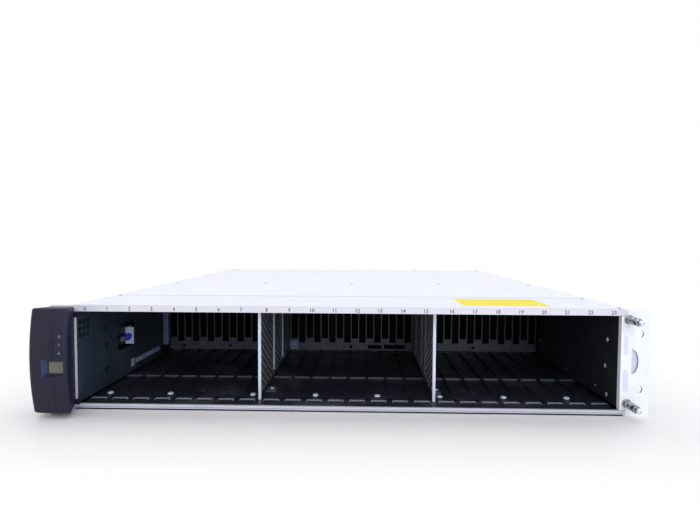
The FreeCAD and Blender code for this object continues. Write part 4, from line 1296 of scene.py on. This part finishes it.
@dataclass
class BayFittings:
    """The small things on the floor and the back of the bays."""

    notch: float = 12.0 * MM
    notch_start: float = 16.2 * MM
    notch_end: float = 20.4 * MM
    lip: float = 0.5 * MM
    rise: float = 1.0 * MM
    plate_rib: float = 2.2 * MM
    screw_row: float = 33.5 * MM
    screws: Sequence[float] = (-209.7, -155.9, -82.6, -27.5, 26.7, 81.0, 136.2, 190.6)
    dimple_row: float = 26.5 * MM
    vent_start: Flat = (3.0, 9.2)
    vent_pitch: Flat = (6.0, 5.5)
    ovals: Sequence[Flat] = ((45.0, 0.204), (45.0, 0.5), (45.0, 0.715))
    wall_rivet_spots: Sequence[Flat] = ((22.0, 0.69), (24.8, 0.385), (21.3, 0.067))
    wall_stud_spots: Sequence[Flat] = ((170.7, 0.51), (174.2, 0.26), (102.0, 0.075), (41.0, 0.095))
    stiffener_screws: Sequence[float] = (-180.0, -112.0, -35.0, 20.0, 118.0, 187.0)
    stiffener_row: float = 7.5 * MM

    def build(self) -> None:
        """Grows lips, dimples and screws."""
        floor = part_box("floor_guide_front")[1].z - self.plate_rib
        bays = bay_places()
        on_floor = [(x, 0.0, floor) for x in bays]
        # Pale lips at the back of the notches: partly the steel edge's own colour, partly painted highlight
        # on the lit rear edge.
        bm = bmesh.new()
        half = self.notch / 2
        lip_end = self.notch_end + self.lip
        add_box(bm, (-half, self.notch_end - 0.15 * MM, 0), (half, lip_end + self.lip, self.rise), 0.12 * MM)
        for side in (-1, 1):
            outline = [(side * half, self.notch_start + 1.2 * MM, 0), (side * half, lip_end, 0),
                       (side * half, lip_end, self.rise),
                       (side * half, self.notch_start + 2.4 * MM, self.rise * 0.4)]
            add_plate(bm, outline, (side * self.lip, 0, 0))
        Repeated("notch_lips", mesh_of(bm, "notch_lip"), on_floor, NOTCH, "black_steel").build()
        shadow = blocks("notch_shadow", [((-half * 0.96, self.notch_start, -1.1 * MM),
                                          (half * 0.96, self.notch_end, -1.0 * MM))])
        Repeated("notch_shadows", shadow, on_floor, PAINTED_SHADE, "black_steel").build()
        # The dimples between the notches are near-black: painted shade in them.
        dimple = lathe("dimple", [(0.06, 0), (0.02, 1.5), (0.12, 1.9), (0.0, 2.1)], 16, 40.0)
        between = [((a + b) / 2, self.dimple_row, floor) for a, b in zip(bays, bays[1:])]
        Repeated("floor_dimples", dimple, between, PAINTED_SHADE, "black_steel").build()
        screws = [(x * MM, self.screw_row, floor + 0.5 * MM) for x in self.screws]
        Screws("floor_screws", screws, radius=2.7 * MM).build()
        self.vent_rims()
        self.wall_rivets()
        self.back_plate()

    def vent_rims(self) -> None:
        """Dark rings round the left wall's vents and ovals: painted shade that makes the holes look larger
        and darker.
        """
        low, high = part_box("liner_left")
        height = high.z - low.z
        (start, drop), (pitch, row_pitch) = self.vent_start, self.vent_pitch
        vents = [(start + pitch * k, (height / MM - drop - row_pitch * row) / (height / MM))
                 for row in range(3) for k in range(3)]
        for name, inner, outer, spots in (("vent_rims", 1.1, 1.9, vents),
                                          ("oval_rims", 2.0, 3.0, self.ovals)):
            rim = lathe(name + "_form", [(-0.2, inner), (0.06, inner), (0.06, outer), (0.0, outer),
                                         (0.0, inner + 0.05), (-0.2, inner)], 16)
            places = [(high.x, y * MM, low.z + share * height) for y, share in spots]
            Repeated(name, rim, places, PAINTED_SHADE, "blue_grey_steel", Facing.RIGHT).build()

    def wall_rivets(self) -> None:
        """Bright domes in the holes of the right wall, painted light seen through the holes, and smaller
        bright domes towards its back.
        """
        low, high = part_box("liner_right")
        height = high.z - low.z
        for name, radius, spots in (("wall_rivets", 1.9, self.wall_rivet_spots),
                                    ("wall_studs", 1.1, self.wall_stud_spots)):
            profile = [(0.0, radius), (0.2, radius), (0.55, radius * 0.6), (0.6, 0)]
            rivet = lathe(name + "_form", profile, 12, 50.0)
            places = [(low.x + 0.35 * MM, y * MM, low.z + share * height) for y, share in spots]
            Repeated(name, rivet, places, BRIGHT, "zinc_steel", Facing.LEFT).build()

    def back_plate(self) -> None:
        """Screws and a light tab on the stiffener's foot."""
        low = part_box("stiffener")[0]
        screws = [(x * MM, low.y - 0.4 * MM, low.z + self.stiffener_row) for x in self.stiffener_screws]
        Screws("stiffener_screws", screws, Facing.FRONT, 1.9 * MM, 0.8 * MM, finish=FLANGE).build()
        outline = rounded(-74.2 * MM, -64.4 * MM, low.z + 0.6 * MM, low.z + 11.6 * MM, 1.2 * MM)
        tab = plate("stiffener_tab", [(x, low.y - 0.6 * MM, z) for x, z in outline], (0, 0.6 * MM, 0))
        piece("stiffener_tab", tab, FLANGE, "chassis", "zinc_steel")
        Screws("stiffener_tab_screw", [(-69.4 * MM, low.y - 1.0 * MM, low.z + 7.4 * MM)], Facing.FRONT,
               2.0 * MM, 0.8 * MM).build()


@dataclass
class Sheet:
    """A thin stuck-on sheet or seam with rounded corners, on a face that looks one way."""

    name: str
    axis: int
    at: float
    across: Flat
    up: Flat
    finish: Finish
    slot: str
    thickness: float = 0.08 * MM
    corner: float = 1.0 * MM

    def build(self) -> None:
        """Lays the sheet, with its thickness towards the higher coordinate."""
        points = []
        for a, b in rounded(*self.across, *self.up, min(self.corner, (self.up[1] - self.up[0]) / 3)):
            point = [a, b]
            point.insert(self.axis, self.at)
            points.append(tuple(point))
        push = [0.0, 0.0, 0.0]
        push[self.axis] = self.thickness
        piece(self.name, plate(self.name, points, tuple(push)), self.finish, "chassis", self.slot)


@dataclass
class Labels:
    """Bare labels, seams and marks on the faces of the shelf, and painted shadow lines along the front fold
    and the sill's foot.
    """

    @staticmethod
    def up(low: float, high: float) -> Flat:
        """Two heights in millimetres above the shelf's underside, in the frame."""
        return UNDERSIDE + low * MM, UNDERSIDE + high * MM

    @staticmethod
    def across(low: float, high: float) -> Flat:
        """Two places in millimetres along a level axis, in the frame."""
        return low * MM, high * MM

    def build(self) -> None:
        """Lays each sheet."""
        low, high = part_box("front_plate")
        wide = (low.x + 2 * MM, high.x - 2 * MM)
        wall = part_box("liner_left")[1].x
        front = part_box("ear_right")[0].y
        across, up, thin = self.across, self.up, 0.03 * MM
        seam = (high.y - 0.5 * MM, high.y + 0.6 * MM)
        face = front - 0.08 * MM
        white, blue, zinc = "white_steel", "blue_grey_steel", "zinc_steel"
        for sheet in (
                Sheet("top_label", 2, high.z, across(97, 169), across(15, 63), YELLOW, white),
                Sheet("plate_seam", 2, high.z, wide, seam, INK_AND_SHADE, white, thin),
                # A thin dark line along the front fold: painted shadow.
                Sheet("fold_shadow", 2, high.z, wide, across(1.3, 1.8), INK_AND_SHADE, white, thin),
                Sheet("wall_label_front", 0, wall, across(91, 99), up(10.6, 19.0), WALL_PAPER, blue),
                Sheet("wall_label", 0, wall, across(101, 160), up(12.6, 17.6), WALL_PAPER, blue),
                Sheet("ear_label_upper", 1, face, across(220.6, 224.0), up(49, 64), PAPER, white),
                Sheet("ear_label_lower", 1, face, across(220.6, 224.6), up(20, 37), PAPER, white),
                Sheet("sill_seam", 1, front - thin, wide, up(2.1, 2.4), INK_AND_SHADE, zinc, thin),
                # A dark strip along the sill's foot: painted contact shadow.
                Sheet("sill_foot", 1, front - thin, wide, up(0.02, 1.2), PAINTED_SHADE, zinc, thin)):
            sheet.build()


@dataclass
class RearUnit:
    """The vents, screws and lamps on the panel of one rear unit, in millimetres.

    Places across are from the panel's left. Heights are from its foot, or from its top where
    they are negative.
    """

    kind: str
    side: str
    vent_start: float
    vent_count: int
    vent_rows: Flat
    screw_rows: Flat
    lamps: Sequence[Flat]
    pitch: float = 4.2
    inset: float = 4.0
    panel: float = 1.5

    def build(self, vent: bpy.types.Mesh, lamp: bpy.types.Mesh) -> None:
        """Grows the vents, the screws and the lamps.

        Args:
            vent: The form of one vent.
            lamp: The form of one lamp.
        """
        low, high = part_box(f"{self.kind}_panel_{self.side}")
        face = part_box(f"{self.kind}_case_{self.side}")[1].y + self.panel * MM
        body = f"{self.kind}_{self.side}"

        def height(up: float) -> float:
            """A height on the panel as a height in the frame."""
            return (high.z if up < 0 else low.z) + up * MM

        vents = [(low.x + (self.vent_start + self.pitch * (k + row / 2)) * MM, face, height(up))
                 for row, up in enumerate(self.vent_rows) for k in range(self.vent_count)]
        Repeated(f"{self.kind}_vents_{self.side}", vent, vents, PAINTED_SHADE, "zinc_steel", Facing.BACK, body).build()
        sides = (low.x + self.inset * MM, high.x - self.inset * MM)
        screws = [(x, face + 0.35 * MM, height(up)) for x in sides for up in self.screw_rows]
        Screws(f"{self.kind}_screws_{self.side}", screws, Facing.BACK, 2.2 * MM, 0.8 * MM, body).build()
        lamps = [(low.x + x * MM, face, height(up)) for x, up in self.lamps]
        Repeated(f"{self.kind}_lamps_{self.side}", lamp, lamps, LAMP_GREEN, "display", Facing.BACK,
                 body).build()


@dataclass
class Outside:
    """Screws, vents and lamps on the outside of the shelf, and painted shade behind the ears' windows."""

    head: float = 0.35 * MM
    ear_sheet: float = 1.5 * MM
    ear_spots: Sequence[Flat] = ((18.0, 14.0), (18.0, 72.0), (48.0, 14.0), (48.0, 72.0))
    side_rows: Sequence[float] = (90.0, 195.0, 300.0, 420.0, 474.0)
    side_heights: Flat = (12.0, 74.0)
    cover_across: Sequence[float] = (-214, -106, 0, 106, 214)
    cover_rows: Flat = (208.0, 476.0)
    plate_spots: Sequence[Flat] = ((-216.0, 66.0), (216.0, 66.0), (218.4, 3.6))
    backing_reach: Flat = (0.2 * MM, 9.5 * MM)
    backing_depth: Flat = (1.55 * MM, 2.35 * MM)
    backing_half: float = 12.5 * MM

    def build(self) -> None:
        """Grows the fasteners of the ears, the covers and the back."""
        low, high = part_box("chassis_tray")
        side_spots = [(y, z) for y in self.side_rows for z in self.side_heights]
        for name, facing, wall, sign in (("left", Facing.LEFT, low.x, -1),
                                         ("right", Facing.RIGHT, high.x, 1)):
            leg = wall + sign * self.ear_sheet
            for kind, face, spots, radius in (("ear", leg, self.ear_spots, 3.2),
                                              ("side", wall, side_spots, 2.6)):
                places = [(face + sign * self.head, y * MM, UNDERSIDE + z * MM) for y, z in spots]
                Screws(f"{kind}_screws_{name}", places, facing, radius * MM, 0.8 * MM).build()
        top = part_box("rear_cover")[1].z + self.head
        cover = [(x * MM, y * MM, top) for x in self.cover_across for y in self.cover_rows]
        Screws("cover_screws", cover, Facing.UP, 2.6 * MM, 0.8 * MM).build()
        Screws("front_plate_screws", [(x * MM, y * MM, top) for x, y in self.plate_spots], Facing.UP,
               1.4 * MM, 0.6 * MM, finish=RIB).build()
        self.window_backs()
        self.back()

    def window_backs(self) -> None:
        """A thin pale lilac plate behind the bowed window of each ear: painted shade of what lies beyond the
        hole.
        """
        low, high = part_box("ear_right")
        middle = (low.z + high.z) / 2
        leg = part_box("chassis_tray")[1].x + self.ear_sheet
        front, rear = (low.y + depth for depth in self.backing_depth)
        spans = []
        for side in (-1, 1):
            near, far = sorted(side * (leg + reach) for reach in self.backing_reach)
            spans.append(((near, front, middle - self.backing_half), (far, rear, middle + self.backing_half)))
        piece("window_backs", blocks("window_backs", spans, 0.2 * MM), WINDOW_SHADE, "chassis", "white_steel")

    @staticmethod
    def back() -> None:
        """Vents, screws and lamps on the rear panels."""
        # Each vent is a flat near-black hexagon on the panel: painted shade for the hole.
        vent = lathe("vent", [(0.0, 0), (0.0, 1.45), (0.05, 1.4), (0.05, 0)], 6)
        lamp = lathe("lamp", [(0.0, 0), (0.0, 1.1), (0.25, 1.0), (0.45, 0.6), (0.5, 0)], 14, 60.0)
        for level in ("lower", "upper"):
            RearUnit("module", level, 16.0, 42, (-3.5, -7.1), (-4.0, -34.0),
                     ((74.0, 22.0), (79.0, 22.0), (84.0, 22.0))).build(vent, lamp)
        for side in ("left", "right"):
            RearUnit("supply", side, 68.0, 9, (58.8, 62.4), (4.0, -4.0),
                     ((108.0, 36.0), (108.0, 41.0))).build(vent, lamp)


@dataclass
class Studio:
    """Floor, backdrop, soft lights and the camera."""

    camera_place: Point = (12.553 * MM, -391.166 * MM, 95.665 * MM)
    yaw: float = 0.0243
    pitch: float = 0.0461
    roll: float = 0.0047
    lens: float = 25.25
    table_reach: Flat = (225.0 * MM, 246.0 * MM)
    table_fade: Flat = (15.0 * MM, 115.0 * MM)
    table_colour: RGB = (246, 244, 240)
    light_colour: RGB = (226, 230, 244)
    light_strength: float = 0.75

    def build(self) -> None:
        """Sets the stage."""
        self.floor()
        self.world()
        self.lights()
        self.camera()
        bpy.context.scene.view_settings.view_transform = "Standard"

    def floor(self) -> None:
        """A pale warm table that fades to white away from the shelf."""
        bm = bmesh.new()
        bmesh.ops.create_grid(bm, x_segments=1, y_segments=1, size=6.0,
                              matrix=Matrix.Translation((0, 0, UNDERSIDE)))
        mesh = bpy.data.meshes.new("table")
        bm.to_mesh(mesh)
        bm.free()
        table = bpy.data.objects.new("table", mesh)
        bpy.context.scene.collection.objects.link(table)
        shader = Shader("pale_table")
        place = shader.place()
        half, middle = self.table_reach
        across = (shader.along(0).maths("ABSOLUTE") - half).maths("MAXIMUM", 0.0)
        depth = ((shader.along(1) - middle).maths("ABSOLUTE") - middle).maths("MAXIMUM", 0.0)
        gap = (across * across + depth * depth).maths("SQRT")
        far = gap.within(*self.table_fade)
        soft = shader.noise(place, 30.0, 3.0)
        gloss = shader.node("ShaderNodeBsdfPrincipled", sockets={
            "Base Color": linear(*self.table_colour), "Roughness": 0.3 + soft * 0.1,
            "Specular IOR Level": 0.25})
        seen = shader.node("ShaderNodeLightPath", output="Is Camera Ray")
        glow = shader.node("ShaderNodeEmission", sockets={"Color": (1, 1, 1, 1), "Strength": 1.0})
        mix = shader.node("ShaderNodeMixShader", sockets={0: far * seen, 1: gloss, 2: glow})
        shader.node("ShaderNodeOutputMaterial", sockets={"Surface": mix})
        mesh.materials.append(shader.material)

    def world(self) -> None:
        """White to the eye and in reflections, and a plain soft light on the shelf."""
        world = bpy.data.worlds.new("studio")
        bpy.context.scene.world = world
        world.use_nodes = True
        tree = Tree(world.node_tree)
        rays = tree.node("ShaderNodeLightPath").socket.node.outputs
        seen = Value(tree, rays["Is Camera Ray"]) + Value(tree, rays["Is Glossy Ray"]) + Value(
            tree, rays["Is Transmission Ray"])
        light = tree.node("ShaderNodeBackground", sockets={
            "Color": linear(*self.light_colour), "Strength": self.light_strength})
        white = tree.node("ShaderNodeBackground", sockets={"Color": (1, 1, 1, 1), "Strength": 1.0})
        mix = tree.node("ShaderNodeMixShader", sockets={0: seen.maths("MINIMUM", 1.0), 1: light, 2: white})
        tree.node("ShaderNodeOutputWorld", sockets={"Surface": mix})

    def lights(self) -> None:
        """A broad light above and another in front."""
        for name, place, aim, size, power in (
                ("overhead", (0.0, 0.1, 1.3), (0, 0.1, 0), 1.6, 7.0),
                ("front", (0.3, -1.5, 0.7), (0, 0.1, 0), 1.0, 9.0)):
            lamp = bpy.data.lights.new(name, "AREA")
            lamp.size = size
            lamp.energy = power
            rig = bpy.data.objects.new(name, lamp)
            rig.location = place
            rig.rotation_euler = (Vector(aim) - Vector(place)).to_track_quat("-Z", "Y").to_euler()
            bpy.context.scene.collection.objects.link(rig)

    def camera(self) -> None:
        """A wide lens close in front of the shelf, a little above it."""
        forward = Vector((-math.sin(self.yaw) * math.cos(self.pitch),
                          math.cos(self.yaw) * math.cos(self.pitch), -math.sin(self.pitch)))
        level = Vector((math.cos(self.yaw), math.sin(self.yaw), 0))
        upright = level.cross(forward)
        right = level * math.cos(self.roll) + upright * math.sin(self.roll)
        up = upright * math.cos(self.roll) - level * math.sin(self.roll)
        lens = bpy.data.cameras.new("camera")
        lens.lens = self.lens
        lens.sensor_width = 36.0
        lens.clip_start = 0.01
        rig = bpy.data.objects.new("camera", lens)
        rig.matrix_world = Matrix.Translation(self.camera_place) @ Matrix(
            (right, up, -forward)).transposed().to_4x4()
        bpy.context.scene.collection.objects.link(rig)
        bpy.context.scene.camera = rig


def main() -> None:
    """Builds and dresses the shelf, then sets the stage."""
    for shade in Shade:
        shade.dress()
    BayNumbers().build()
    EndCap().build()
    Studs().build()
    for side in ("left", "right"):
        Divider(f"divider_{side}").build()
    BayFittings().build()
    Labels().build()
    Outside().build()
    Studio().build()


if __name__ == "__main__":
    logging.basicConfig(level=logging.INFO)
    main()
